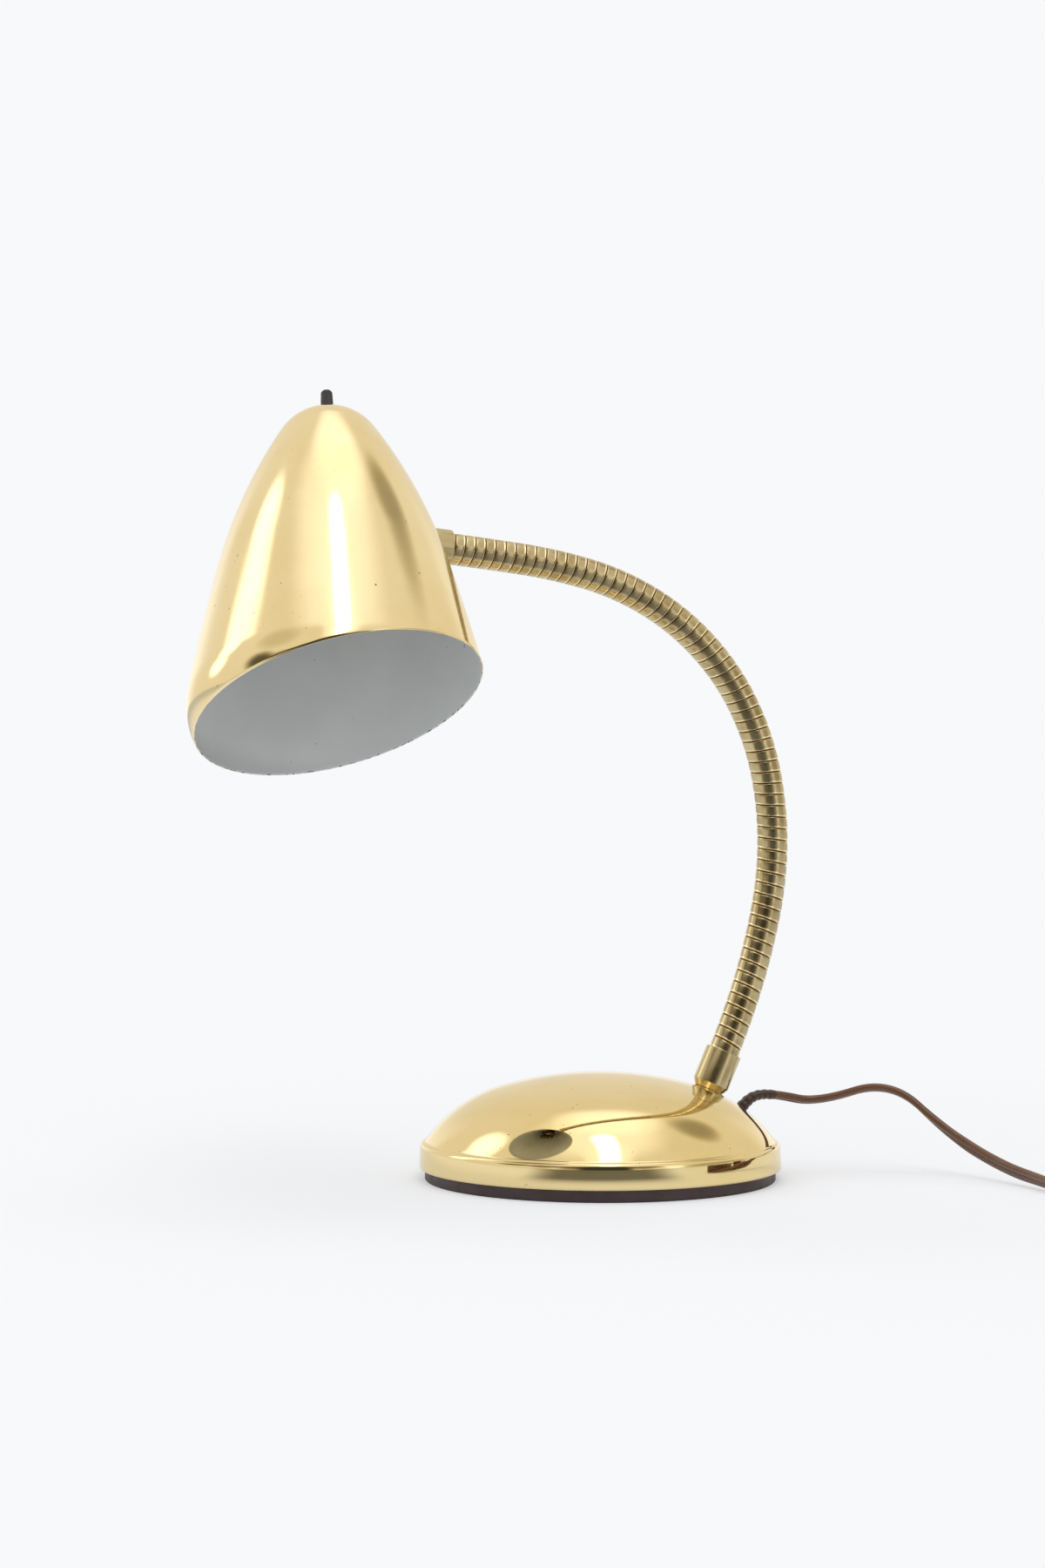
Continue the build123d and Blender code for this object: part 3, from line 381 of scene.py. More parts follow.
def cord_vinyl(name):
    """Brown vinyl of the flat cord with lighter streaks at random, and painted shade that darkens it
    towards the groove between its two lobes. The first UV value goes round the cord, from the groove to
    the groove."""
    shader = Shader(name)
    place = shader.place()
    around = shader.add("SeparateXYZ", {"Vector": shader.add("UVMap").outputs[0]}).outputs[0]
    lobe = shader.math("ABSOLUTE", shader.math("SINE", shader.math("MULTIPLY", around, 2 * math.pi)))
    drift = shader.noise(place, 90.0, detail=4.0)
    base = shader.mix(shader.ramp(drift, 0.3, 0.7), rgb(106, 70, 46), rgb(98, 64, 42))
    # painted shade: the cord darkens towards the groove between its two lobes
    base = shader.mix(shader.ramp(lobe, 0.15, 0.50, 0.85, 0.0), base, rgb(34, 21, 15))
    streak = shader.noise(shader.uv((9.0, 12.0, 1.0)), 1.0, detail=2.0)
    base = shader.mix(shader.ramp(streak, 0.5, 0.75, 0.0, 0.3), base, rgb(126, 90, 64))
    roughness = shader.grain(place, 120.0, 3.0, 0.20, 0.28)
    normal = shader.bump(shader.noise(place, 500.0, detail=1.0), 0.000002)
    return shader.set(color=base, roughness=roughness, normal=normal)


def plated(name, first, second, gloss, dull):
    """Plated or bare metal of the small parts."""
    shader = Shader(name)
    place = shader.place()
    base = shader.mix(shader.ramp(shader.noise(place, 80.0, detail=4.0), 0.3, 0.7), first, second)
    roughness = shader.grain(place, 250.0, 3.0, gloss, dull)
    return shader.set(color=base, metallic=1.0, roughness=roughness)


shade_brass = brass("shade_brass", rgb(246, 226, 176), rgb(240, 217, 160), 0.075, 0.125, 0.35, 0.000002)
dome_brass = brass("dome_brass", rgb(240, 218, 162), rgb(232, 208, 146), 0.03, 0.06, 0.2, 0.0000005)
ferrule_brass = brass("ferrule_brass", rgb(202, 185, 140), rgb(190, 172, 126), 0.22, 0.28, 0.6,
                      0.0000015, wave=0.0)
hose_brass = neck_brass("hose_brass")
shade_enamel = enamel("shade_enamel")
cup_brown = moulded("cup_brown", rgb(76, 58, 60), rgb(64, 48, 50), 0.45, 0.6, 900.0, 0.00005)
cord_brown = cord_vinyl("cord_brown")
relief_brown = moulded("relief_brown", rgb(66, 44, 32), rgb(54, 36, 26), 0.32, 0.46, 1500.0, 0.00001)
plug_brown = moulded("plug_brown", rgb(78, 52, 38), rgb(66, 42, 30), 0.35, 0.5, 1200.0, 0.00004)
tie_black = moulded("tie_black", rgb(38, 36, 36), rgb(30, 29, 29), 0.4, 0.55, 1500.0, 0.00004)
knob_black = moulded("knob_black", rgb(30, 30, 31), rgb(22, 22, 23), 0.28, 0.42, 1500.0, 0.00003)
phenolic = moulded("phenolic", rgb(44, 36, 32), rgb(34, 28, 26), 0.3, 0.45, 1000.0, 0.00003)
lead_sleeve = moulded("lead_sleeve", rgb(62, 50, 44), rgb(52, 42, 38), 0.45, 0.6, 1500.0, 0.00003)
nickel = plated("nickel", rgb(226, 222, 214), rgb(206, 200, 190), 0.15, 0.3)
zinc = plated("zinc", rgb(176, 178, 182), rgb(156, 158, 160), 0.32, 0.5)
contact_brass = plated("contact_brass", rgb(226, 200, 138), rgb(206, 176, 112), 0.2, 0.34)
cast_iron = moulded("cast_iron", rgb(58, 58, 60), rgb(46, 45, 46), 0.6, 0.8, 400.0, 0.0003)


# ---- base ------------------------------------------------------------------------------------

crown_z = DOME_TOP - CROWN_R
foot_r = BASE_R - SHOULDER_R - LEDGE
foot_span = math.hypot(foot_r, LEDGE_Z - crown_z)
centers_apart = CROWN_R - FLANK_R
crown_share = (centers_apart**2 + foot_span**2 - FLANK_R**2) / (2 * centers_apart * foot_span)
crown_tilt = math.atan2(foot_r, LEDGE_Z - crown_z) - math.acos(crown_share)
flank_center = (centers_apart * math.sin(crown_tilt), crown_z + centers_apart * math.cos(crown_tilt))
foot_tilt = math.degrees(math.atan2(foot_r - flank_center[0], LEDGE_Z - flank_center[1]))
crown_tilt = math.degrees(crown_tilt)
rim_arc_r = (LEDGE_Z - SHOULDER_R - RIM_Z) / math.sin(math.radians(RIM_LEAN))
shoulder_r = BASE_R - rim_arc_r + (rim_arc_r - SHOULDER_R) * math.cos(math.radians(RIM_LEAN))


def dome_outline(inset):
    """Outline of the dome's skin from the axis to the lower edge of its rim, moved in by inset."""
    return (
        arc((0, crown_z), CROWN_R - inset, 90, 90 - crown_tilt, 40)
        + arc(flank_center, FLANK_R - inset, 90 - crown_tilt, 90 - foot_tilt, 60)[1:]
        + arc((shoulder_r, LEDGE_Z - SHOULDER_R), SHOULDER_R - inset, 90, RIM_LEAN, 14)
        + arc((BASE_R - rim_arc_r, RIM_Z), rim_arc_r - inset, RIM_LEAN, 0, 12)[1:]
    )


def dome_place(radius):
    """Point of the dome's flank at a distance from its axis, on the +X side, and the normal there."""
    tilt = math.asin((radius - flank_center[0]) / FLANK_R)
    normal = Vector((math.sin(tilt), 0, math.cos(tilt)))
    return Vector((radius, 0, flank_center[1] + FLANK_R * math.cos(tilt))), normal


def make_base():
    """Polished dome with its rolled rim; its mouth below is closed by the bottom cup."""
    outline = dome_outline(0) + dome_outline(SHELL_T)[::-1]
    up, across = Vector((0, 0, 1)), Vector((1, 0, 0))
    mesh = lathe("base_shell_skin", (0, 0, 0), up, across, outline, 360)
    piece("base_shell_skin", mesh, [dome_brass], "base", ["base_shell"])


def make_ferrule(name, foot, axis, body, node):
    """Turned ferrule: a chamfered foot on the sheet, a plain barrel and a bore for the neck."""
    barrel = rounded([
        (FERRULE_BORE_R, 0.0),
        (FERRULE_FOOT_R, 0.0),
        (FERRULE_R, FERRULE_FOOT_H),
        (FERRULE_R, FERRULE_L),
        (FERRULE_R - FERRULE_LIP, FERRULE_L),
        (FERRULE_FLARE_R, FERRULE_L - FERRULE_LIP_SINK),
        (FERRULE_BORE_R, FERRULE_L - FERRULE_FLARE_H),
    ], FERRULE_ROUNDING)
    mesh = lathe(name, foot, axis, Vector((0, 1, 0)), barrel, 96)
    piece(name, mesh, [ferrule_brass], body, [node])


# ---- neck ------------------------------------------------------------------------------------

TURN_STEPS = 56               # points round one turn
PITCH_FOOT = 5.5 * MM         # ridge to ridge at the base and at the shade
PITCH_END = 4.7 * MM
NECK_INSIDE = 3.0 * MM        # how far the hose runs on into each ferrule
BELOW_ONE = 0.9999            # keeps the last point's share of the turn in the same turn
ARC_STEPS = 40                # points of the middle line from one joint to the next
HOSE_PROFILE = (              # share of a turn's width and radius in mm, from the base's side
    (0.00, 6.64), (0.035, 6.58), (0.06, 6.64), (0.08, 6.90), (0.10, 7.10), (0.13, 7.16), (0.16, 7.12),
    (0.19, 7.06), (0.23, 7.045), (0.35, 7.06), (0.50, 7.07), (0.65, 7.07), (0.80, 7.05), (0.90, 7.02),
    (0.955, 6.93), (0.98, 6.80), (1.00, 6.64),
)


class Centreline:
    """The neck's middle line: arcs in the lamp's middle plane through its joints."""

    def __init__(self, lean, points, ends_inside):
        places, angles = [], []
        angle = lean
        for start, end in zip(points, points[1:]):
            chord = math.atan2(end.x - start.x, end.z - start.z)
            bend = 2 * (chord - angle)
            full = (end - start).length
            for step in range(ARC_STEPS):
                share = step / ARC_STEPS
                part = share * bend
                if abs(bend) < 1e-6:
                    reach = full * share
                else:
                    reach = full * math.sin(part / 2) / math.sin(bend / 2)
                heading = angle + part / 2
                places.append(start + Vector((math.sin(heading), 0, math.cos(heading))) * reach)
                angles.append(angle + part)
            angle += bend
        places.append(points[-1].copy())
        angles.append(angle)
        first = Vector((math.sin(lean), 0, math.cos(lean)))
        last = Vector((math.sin(angle), 0, math.cos(angle)))
        places = [places[0] - first * ends_inside] + places + [places[-1] + last * ends_inside]
        angles = [lean] + angles + [angle]
        self.points = np.array(places)
        self.angles = np.array(angles)
        self.along = np.r_[0, np.cumsum(np.linalg.norm(np.diff(self.points, axis=0), axis=1))]
        self.length = self.along[-1]

    def at(self, distance):
        """Points at distances along the line, and the direction towards its outside at each."""
        place = np.stack([np.interp(distance, self.along, self.points[:, k]) for k in range(3)], axis=-1)
        angle = np.interp(distance, self.along, self.angles)
        out = np.stack([np.cos(angle), np.zeros_like(angle), -np.sin(angle)], axis=-1)
        return place, out


def make_neck(foot, lean):
    """Coiled hose, cut into a piece for each of the neck's joints, that spans that joint."""
    start = foot + Vector((math.sin(lean), 0, math.cos(lean))) * FERRULE_L
    end = shade_center + shade_u * SHADE_REACH
    stops = [start] + [Vector(joint["pos_m"]) for joint in neck_joints] + [end]
    line = Centreline(lean, stops, NECK_INSIDE)
    total = int(line.length / ((PITCH_FOOT + PITCH_END) / 2)) * TURN_STEPS
    # Distance of the coil's edge at each step; the pitch changes evenly from one end to the other.
    share = np.linspace(0, 1, total + TURN_STEPS + 1)
    widening = (PITCH_END - PITCH_FOOT) / (PITCH_END + PITCH_FOOT)
    edges = (line.length + PITCH_END) * (share * (1 - widening) + widening * share**2)
    cuts = []
    for before, after in zip(stops[:-1], stops[1:]):
        middle = (before + after) / 2
        nearest = np.linalg.norm(line.points - np.array(middle), axis=1).argmin()
        cuts.append(line.along[nearest])
    shares, radii = np.array(HOSE_PROFILE).T
    radii = radii * MM
    first_step = 0
    last_index = len(neck_joints) - 1
    for index in range(len(neck_joints)):
        last_step = total
        if index < last_index:
            last_step = int(np.searchsorted(edges, cuts[index + 1]) // TURN_STEPS * TURN_STEPS)
        steps = np.arange(first_step, last_step + 1)
        low, high = edges[steps], edges[steps + TURN_STEPS]
        distance = np.clip(low[:, None] + (high - low)[:, None] * shares, 0, line.length)
        place, out = line.at(distance)
        turn = -2 * math.pi * steps / TURN_STEPS
        spoke = out * np.cos(turn)[:, None, None]
        spoke[..., 1] += np.sin(turn)[:, None]
        points = place + spoke * radii[None, :, None]
        uv = np.stack(np.broadcast_arrays(
            steps[:, None] / TURN_STEPS, np.minimum(shares, BELOW_ONE)[None, :]), axis=-1)
        name = f"neck_hose_{index + 1:02d}"
        mesh = grid_mesh(name, points, uv, wrap=False)
        nodes = [f"neck_link_{index + 2:02d}"]
        if index == 0:
            nodes.append("neck_link_01")
        hose = piece(name, mesh, [hose_brass], replaces=nodes)
        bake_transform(hose)
        first_step = last_step


# ---- shade -----------------------------------------------------------------------------------

def bowed(first, last, start_slope, count):
    """Points after first of the arc that leaves it at a slope from the axis, and the end slope."""
    chord = math.hypot(last[0] - first[0], last[1] - first[1])
    chord_slope = math.atan2(last[0] - first[0], last[1] - first[1])
    half = start_slope - chord_slope
    radius = chord / (2 * math.sin(half))
    slopes = np.linspace(start_slope, start_slope - 2 * half, count)[1:]
    points = [
        (first[0] + radius * (math.cos(a) - math.cos(start_slope)),
         first[1] + radius * (math.sin(start_slope) - math.sin(a)))
        for a in slopes
    ]
    return points, list(slopes)


def shade_wall():
    """Points (radius, s) of the shade's outside from pole to lip, with the wall's slope at each."""
    slopes = list(np.linspace(math.pi / 2, NOSE_EDGE, 60))
    points = [(NOSE_R * math.cos(a), NOSE_R * (1 - math.sin(a))) for a in slopes]
    flank, flank_slopes = bowed(points[-1], (WAIST_R, WAIST_S), NOSE_EDGE, 90)
    skirt, skirt_slopes = bowed((WAIST_R, WAIST_S), (HEM_R, HEM_S), flank_slopes[-1], 70)
    hem_slope = skirt_slopes[-1]
    center = (HEM_R - LIP_R * math.cos(hem_slope), HEM_S + LIP_R * math.sin(hem_slope))
    lip_end = -math.asin((LIP_END_S - center[1]) / LIP_R)
    lip_slopes = list(np.linspace(hem_slope, lip_end, 60)[1:])
    lip = [(center[0] + LIP_R * math.cos(a), center[1] - LIP_R * math.sin(a)) for a in lip_slopes]
    wall = np.array(points + flank + skirt + lip)
    return wall, np.array(slopes + flank_slopes + skirt_slopes + lip_slopes)


def shade_skin(inset, rows, turn):
    """Grid of points of the shade's wall, moved in by inset and cut off by the oblique mouth."""
    wall, slopes = shade_wall()
    radius = wall[:, 0] - inset * np.cos(slopes)
    s = wall[:, 1] + inset * np.sin(slopes)
    along = np.r_[0, np.cumsum(np.hypot(np.diff(radius), np.diff(s)))]
    grid = np.zeros((rows, len(turn), 3))
    length = np.zeros((rows, len(turn)))
    spacing = np.linspace(0, 1, rows)
    for column, angle in enumerate(turn):
        past = (s - MOUTH_S) * math.cos(MOUTH_CUT)
        past = past + radius * math.cos(angle + MOUTH_TURN) * math.sin(MOUTH_CUT)
        after = int(np.argmax(past > 0))
        share = -past[after - 1] / (past[after] - past[after - 1])
        end = along[after - 1] + share * (along[after] - along[after - 1])
        stops = spacing * end
        r = np.interp(stops, along, radius)
        spoke = shade_u * math.cos(angle) + shade_v * math.sin(angle)
        grid[:, column] = (
            np.array(pole) + np.outer(np.interp(stops, along, s), shade_down) + np.outer(r, spoke)
        )
        length[:, column] = stops
    return grid, length


def make_shade():
    """Thin spun shade: brass outside, enamel inside, with a rounded cut edge along its mouth."""
    turn = np.linspace(0, 2 * math.pi, SHADE_COLUMNS, endpoint=False)
    outside, outside_length = shade_skin(0, SHADE_ROWS, turn)
    inside, inside_length = shade_skin(SHADE_T, SHADE_ROWS, turn)
    edge = np.stack([
        outside[-1] * (1 - share) + inside[-1] * share + np.array(shade_down) * SHADE_T * bulge
        for share, bulge in ((0.25, 0.25), (0.5, 0.35), (0.75, 0.25))
    ])
    points = np.concatenate([outside, edge, inside[::-1]])
    edge_length = np.repeat(outside_length[-1:], len(edge), axis=0)
    length = np.concatenate([outside_length, edge_length, inside_length[::-1]])
    length = np.concatenate([length, length[:, :1]], axis=1)
    around = np.arange(SHADE_COLUMNS + 1) / SHADE_COLUMNS
    uv = np.stack(np.broadcast_arrays(around[None, :], length), axis=-1)
    bands = np.zeros(len(points) - 1, int)
    bands[SHADE_ROWS + 1:] = 1
    mesh = grid_mesh("shade_skin", points, uv, material_rows=bands)
    from_edge = np.concatenate([
        outside_length[-1] - outside_length,
        np.zeros((len(edge), SHADE_COLUMNS)),
        (inside_length[-1] - inside_length)[::-1],
    ])
    rim = mesh.attributes.new("rim", "FLOAT", "POINT")
    rim.data.foreach_set("value", np.clip(from_edge / CHIP_REACH, 0, 1).astype(np.float32).ravel())
    merged(mesh)
    piece("shade_skin", mesh, [shade_brass, shade_enamel], "shade", ["shade_shell"])


def make_knob():
    """Black turn knob with fine ribs and a crowned top."""
    columns = KNOB_RIBS * KNOB_RIB_STEPS
    turn = np.linspace(0, 2 * math.pi, columns, endpoint=False)
    level = np.concatenate([[0.0], np.linspace(0, KNOB_H - KNOB_CROWN, 40)])
    crown = np.linspace(0, math.pi / 2, 16)[1:]
    radius = KNOB_R_BOTTOM + (KNOB_R_TOP - KNOB_R_BOTTOM) * level / KNOB_H
    radius[0] *= KNOB_FOOT_SHARE
    top_r = radius[-1]
    level = np.concatenate([level, KNOB_H - KNOB_CROWN + KNOB_CROWN * np.sin(crown)])
    radius = np.concatenate([radius, (top_r - KNOB_CROWN) + KNOB_CROWN * np.cos(crown)])
    level = np.concatenate([[0.0], level, [KNOB_H]])
    radius = np.concatenate([[0.0], radius, [0.0]])
    rib = 0.5 + 0.5 * np.cos(turn * KNOB_RIBS)
    fade = np.clip((KNOB_H - KNOB_CROWN * 0.6 - level) / KNOB_RIB_FADE, 0, 1)
    reach = radius[:, None] - KNOB_RIB_DEPTH * fade[:, None] * (1 - rib) ** 2
    reach[[0, -1]] = 0
    spokes = np.outer(np.cos(turn), shade_u) + np.outer(np.sin(turn), shade_v)
    foot = pole + shade_down * KNOB_FOOT_S
    points = np.array(foot) + level[:, None, None] * -np.array(shade_down) + reach[:, :, None] * spokes
    around = np.arange(columns + 1) / columns
    uv = np.stack(np.broadcast_arrays(around[None, :], level[:, None]), axis=-1)
    mesh = merged(grid_mesh("knob", points, uv))
    piece("knob", mesh, [knob_black], "switch", ["switch_knob"])


# ---- cord ------------------------------------------------------------------------------------

CORD_LEAN = math.radians(48)  # tilt of the cord's first run from upright
CORD_FIRST_RUN = 9.0 * MM
CORD_INSIDE = 2.0 * MM        # how far the cord starts inside the dome
EXIT_OUT = 0.9 * MM
FREE_ROUTE = (                # from the dome's rear to the coil, in millimetres
    (88.0, -0.5, 35.2), (107.0, -4.5, 30.8), (137.0, -22.0, 42.5), (155.0, -46.0, 18.5),
    (166.0, -78.0, 6.4), (169.0, -113.0, 4.0), (163.5, -150.0, 2.6),
)
COIL_CENTER = (200.0 * MM, -184.0 * MM)
COIL_R = 33.0 * MM
COIL_SIDE = 5.9 * MM          # distance between turns beside each other
COIL_RISE = 3.9 * MM          # distance between layers
COIL_FLOOR = 1.8 * MM
COIL_TURNS = 6.5
COIL_STAY = 0.72              # share of a turn that stays in its slot before it slides over
COIL_SLOTS = ((0, 1), (0, 0), (0, -1), (1, -1), (1, 0), (1, 1), (2, 1), (2, 1))
COIL_POINTS = 16              # points of the route for each turn
TAIL_ROUTE = ((235.0, -163.0, 7.6), (231.0, -142.0, 6.6))
GROOVE_FILL = 8               # degrees of each lobe that the groove's floor takes
CORD_TWIST = (                # distance along the cord in metres, turn of its flat side in degrees
    (0.0, 8), (0.03, 20), (0.06, 12), (0.095, 22), (0.125, 66), (0.16, 68), (0.19, 52), (0.22, 15),
    (0.24, 0), (2.0, 0),
)

# Sleeve at the dome
RELIEF_START = 1.0 * MM       # distance along the cord
RELIEF_L = 22.0 * MM
RELIEF_OVER = 1.1 * MM        # how far the sleeve stands off the cord at its ends
RELIEF_END = 0.35 * MM
RELIEF_RIBS = 7
RELIEF_RIB_H = 0.12 * MM
RELIEF_PLAIN = 0.9            # the ribs end at this share of its length
RELIEF_COLUMNS = 40


def coil_points():
    """Turns of the coil as layer and column slots, each turn sliding over to the next one's slot."""
    points = []
    for step in range(int(COIL_TURNS * COIL_POINTS) + 1):
        turns = step / COIL_POINTS
        whole = int(turns)
        slide = max(0.0, (turns - whole - COIL_STAY) / (1 - COIL_STAY))
        slide = slide * slide * (3 - 2 * slide)
        slot, next_slot = COIL_SLOTS[whole], COIL_SLOTS[whole + 1]
        layer, column = (a * (1 - slide) + b * slide for a, b in zip(slot, next_slot))
        radius = COIL_R + column * COIL_SIDE
        angle = math.pi + 2 * math.pi * turns
        points.append((
            COIL_CENTER[0] + radius * math.cos(angle),
            COIL_CENTER[1] + radius * math.sin(angle),
            COIL_FLOOR + layer * COIL_RISE,
        ))
    return points


def cord_section():
    """Outline of a flat two-conductor cord: two round lobes with a groove between them."""
    lobe = CORD_H / 2
    offset = CORD_W / 2 - lobe
    reach = 180 - math.degrees(math.acos(offset / lobe)) - GROOVE_FILL
    right = arc((offset, 0), lobe, -reach, reach, 10)
    left = [(-x, -y) for x, y in right]
    return np.array(right + left)


def make_relief(path, along, wide, thick):
    """Tapered sleeve round the first stretch of the cord, with shallow flex ribs."""
    stops = np.linspace(RELIEF_START, RELIEF_L, 90)
    middle, across, up = (
        np.stack([np.interp(stops, along, rows[:, k]) for k in range(3)], axis=-1)[:, None]
        for rows in (path, wide, thick)
    )
    share = (stops - stops[0]) / (stops[-1] - stops[0])
    over = RELIEF_OVER + (RELIEF_END - RELIEF_OVER) * share**0.8
    over += RELIEF_RIB_H * np.sin(share * 2 * math.pi * RELIEF_RIBS) * (share < RELIEF_PLAIN)
    over[-1] = over[-2] * 0.4
    turn = np.linspace(0, 2 * math.pi, RELIEF_COLUMNS, endpoint=False)
    half_w, half_h = (CORD_W / 2 + over)[:, None], (CORD_H / 2 + over)[:, None]
    points = (
        middle + (half_w * np.cos(turn))[..., None] * across + (half_h * np.sin(turn))[..., None] * up
    )
    around = np.linspace(0, 1, RELIEF_COLUMNS + 1)
    uv = np.stack(np.broadcast_arrays(around[None, :], stops[:, None]), axis=-1)
    mesh = merged(grid_mesh("cord_relief", points, uv), closed=False)
    return piece("cord_relief", mesh, [relief_brown], "base")


def make_cord():
    """Flat brown cord along one smooth line: free stretch, coil and tail to the plug."""
    exit_point, _ = dome_place(CORD_EXIT_R)
    lean = Vector((math.sin(CORD_LEAN), 0, math.cos(CORD_LEAN)))
    start = exit_point + lean * EXIT_OUT
    route = [exit_point - lean * CORD_INSIDE, start, start + lean * CORD_FIRST_RUN]
    route += [Vector(point) * MM for point in FREE_ROUTE]
    route += [Vector(point) for point in coil_points()]
    route += [Vector(point) * MM for point in TAIL_ROUTE]
    curve = bpy.data.curves.new("cord_line", "CURVE")
    curve.dimensions = "3D"
    curve.resolution_u = 12
    spline = curve.splines.new("NURBS")
    spline.points.add(len(route) - 1)
    for point, place in zip(spline.points, route):
        point.co = (*place, 1)
    spline.order_u = 3
    spline.use_endpoint_u = True
    guide = bpy.data.objects.new("cord_line", curve)
    flat = bpy.data.meshes.new_from_object(guide)
    path = np.array([vertex.co for vertex in flat.vertices])
    bpy.data.objects.remove(guide)
    along = np.r_[0, np.cumsum(np.linalg.norm(np.diff(path, axis=0), axis=1))]
    tangent = np.gradient(path, along, axis=0)
    tangent /= np.linalg.norm(tangent, axis=1, keepdims=True)
    side = np.cross(tangent, (0, 0, 1))
    side /= np.linalg.norm(side, axis=1, keepdims=True)
    over = np.cross(side, tangent)
    twist = np.radians(np.interp(along, *np.array(CORD_TWIST).T))[:, None]
    wide = side * np.cos(twist) + over * np.sin(twist)
    thick = over * np.cos(twist) - side * np.sin(twist)
    section = cord_section()
    points = (
        path[:, None]
        + section[None, :, 0, None] * wide[:, None]
        + section[None, :, 1, None] * thick[:, None]
    )
    around = np.linspace(0, 1, len(section) + 1)
    uv = np.stack(np.broadcast_arrays(around[None, :], along[:, None]), axis=-1)
    mesh = merged(grid_mesh("cord_flex", points, uv), closed=False)
    cord = piece("cord_flex", mesh, [cord_brown], "base",
                 ["cord", "cord_coil", "cord_tail"])
    relief = make_relief(path, along, wide, thick)


# ---- CAD nodes that stay, with their materials -----------------------------------------------

NODE_MATERIALS = {
    "base_cup": cup_brown, "base_weight": cast_iron, "cup_screws": zinc, "slug_stud": zinc,
    "slug_washer": zinc, "slug_nut": zinc, "base_nipple": zinc, "base_washer": zinc, "base_nut": zinc,
    "base_lead": lead_sleeve, "upper_nipple": zinc, "upper_washer": zinc, "upper_nut": zinc,
    "socket_strap": zinc, "pole_spacer": zinc, "switch_bushing": nickel, "sleeve_nut": nickel,
    "socket_cap": phenolic, "socket_body": phenolic, "screw_shell": contact_brass,
    "center_contact": contact_brass, "terminal_screws": contact_brass, "socket_lead": lead_sleeve,
    "switch_shaft": nickel, "cord_grommet": relief_brown, "cord_tie": tie_black, "plug_body": plug_brown,
    "plug_blades": contact_brass,
}


def finish_nodes():
    """Gives each CAD node that stays its material."""
    for name, node in frame["nodes"].items():
        material = lead_sleeve if name.startswith("neck_leads") else NODE_MATERIALS.get(name)
        if material:
            node.data.materials.clear()
            node.data.materials.append(material)


# ---- stage, lamps and camera -----------------------------------------------------------------

CAMERA_PLACE = Vector((-0.48815, -1.23768, 0.180))
CAMERA_TURN = math.radians(-20)
LENS = 66.84
SENSOR_WIDTH = 36.0
LAMP_AIM = Vector((0, 0, 0.18))
LAMPS = (                     # name, azimuth, elevation, distance, width, height and power
    ("left_box", -108, 45, 2.2, 0.8, 1.3, 7),
    ("front_box", 6, 56, 2.2, 0.6, 0.9, 6),
    ("top_box", -30, 84, 2.0, 1.6, 1.6, 12),
)
WHITE = (0.94, 0.945, 0.958, 1.0)
view_ahead = Vector((-math.sin(CAMERA_TURN), math.cos(CAMERA_TURN), 0))
view_right = Vector((view_ahead.y, -view_ahead.x, 0))


def toward(azimuth, elevation):
    """Direction from the lamp: azimuth 0 is the camera's side, 90 the photograph's right."""
    a, e = math.radians(azimuth), math.radians(elevation)
    level = -view_ahead * math.cos(a) + view_right * math.sin(a)
    return level * math.cos(e) + Vector((0, 0, math.sin(e)))


def make_camera():
    """Camera at the lamp's middle height, level, on its -Y side."""
    data = bpy.data.cameras.new("camera")
    data.lens = LENS
    data.sensor_width = SENSOR_WIDTH
    data.clip_end = 50.0
    camera = bpy.data.objects.new("camera", data)
    camera.location = CAMERA_PLACE
    camera.rotation_euler = (math.pi / 2, 0, CAMERA_TURN)
    bpy.context.scene.collection.objects.link(camera)
    bpy.context.scene.camera = camera


def area_lamp(name, azimuth, elevation, distance, width, height, power):
    """Soft box that faces the lamp from a direction. Reflections don't show it."""
    data = bpy.data.lights.new(name, "AREA")
    data.shape = "RECTANGLE"
    data.size, data.size_y = width, height
    data.energy = power
    lamp = bpy.data.objects.new(name, data)
    away = toward(azimuth, elevation)
    lamp.location = LAMP_AIM + away * distance
    lamp.rotation_euler = (-away).to_track_quat("-Z", "Y").to_euler()
    lamp.visible_camera = False
    lamp.visible_glossy = False
    bpy.context.scene.collection.objects.link(lamp)


def smooth_share(tree, value, low, high, bottom=0.0, top=1.0):
    """Smooth step from bottom to top as the value goes from low to high."""
    ramp = tree.nodes.new("ShaderNodeMapRange")
    ramp.interpolation_type = "SMOOTHSTEP"
    tree.links.new(value, ramp.inputs["Value"])
    for socket, number in zip(("From Min", "From Max", "To Min", "To Max"), (low, high, bottom, top)):
        ramp.inputs[socket].default_value = number
    return ramp.outputs[0]


def worked_out(tree, operation, first, second):
    """Output of a math node on two values."""
    node = tree.nodes.new("ShaderNodeMath")
    node.operation = operation
    tree.links.new(first, node.inputs[0])
    tree.links.new(second, node.inputs[1])
    return node.outputs[0]


def along_direction(tree, vector, direction):
    """Share of a vector along a fixed direction."""
    dot = tree.nodes.new("ShaderNodeVectorMath")
    dot.operation = "DOT_PRODUCT"
    tree.links.new(vector, dot.inputs[0])
    dot.inputs[1].default_value = direction
    return dot.outputs["Value"]


def plain(tree, kind, color, strength=None):
    """Background, emission or diffuse node of one colour."""
    node = tree.nodes.new("ShaderNode" + kind)
    node.inputs["Color"].default_value = color
    if strength is not None:
        node.inputs["Strength"].default_value = strength
    return node


def mixed(tree, share, first, second):
    """Mix of two shader nodes; a share of 1 is the second."""
    node = tree.nodes.new("ShaderNodeMixShader")
    tree.links.new(share, node.inputs[0])
    tree.links.new(first.outputs[0], node.inputs[1])
    tree.links.new(second.outputs[0], node.inputs[2])
    return node


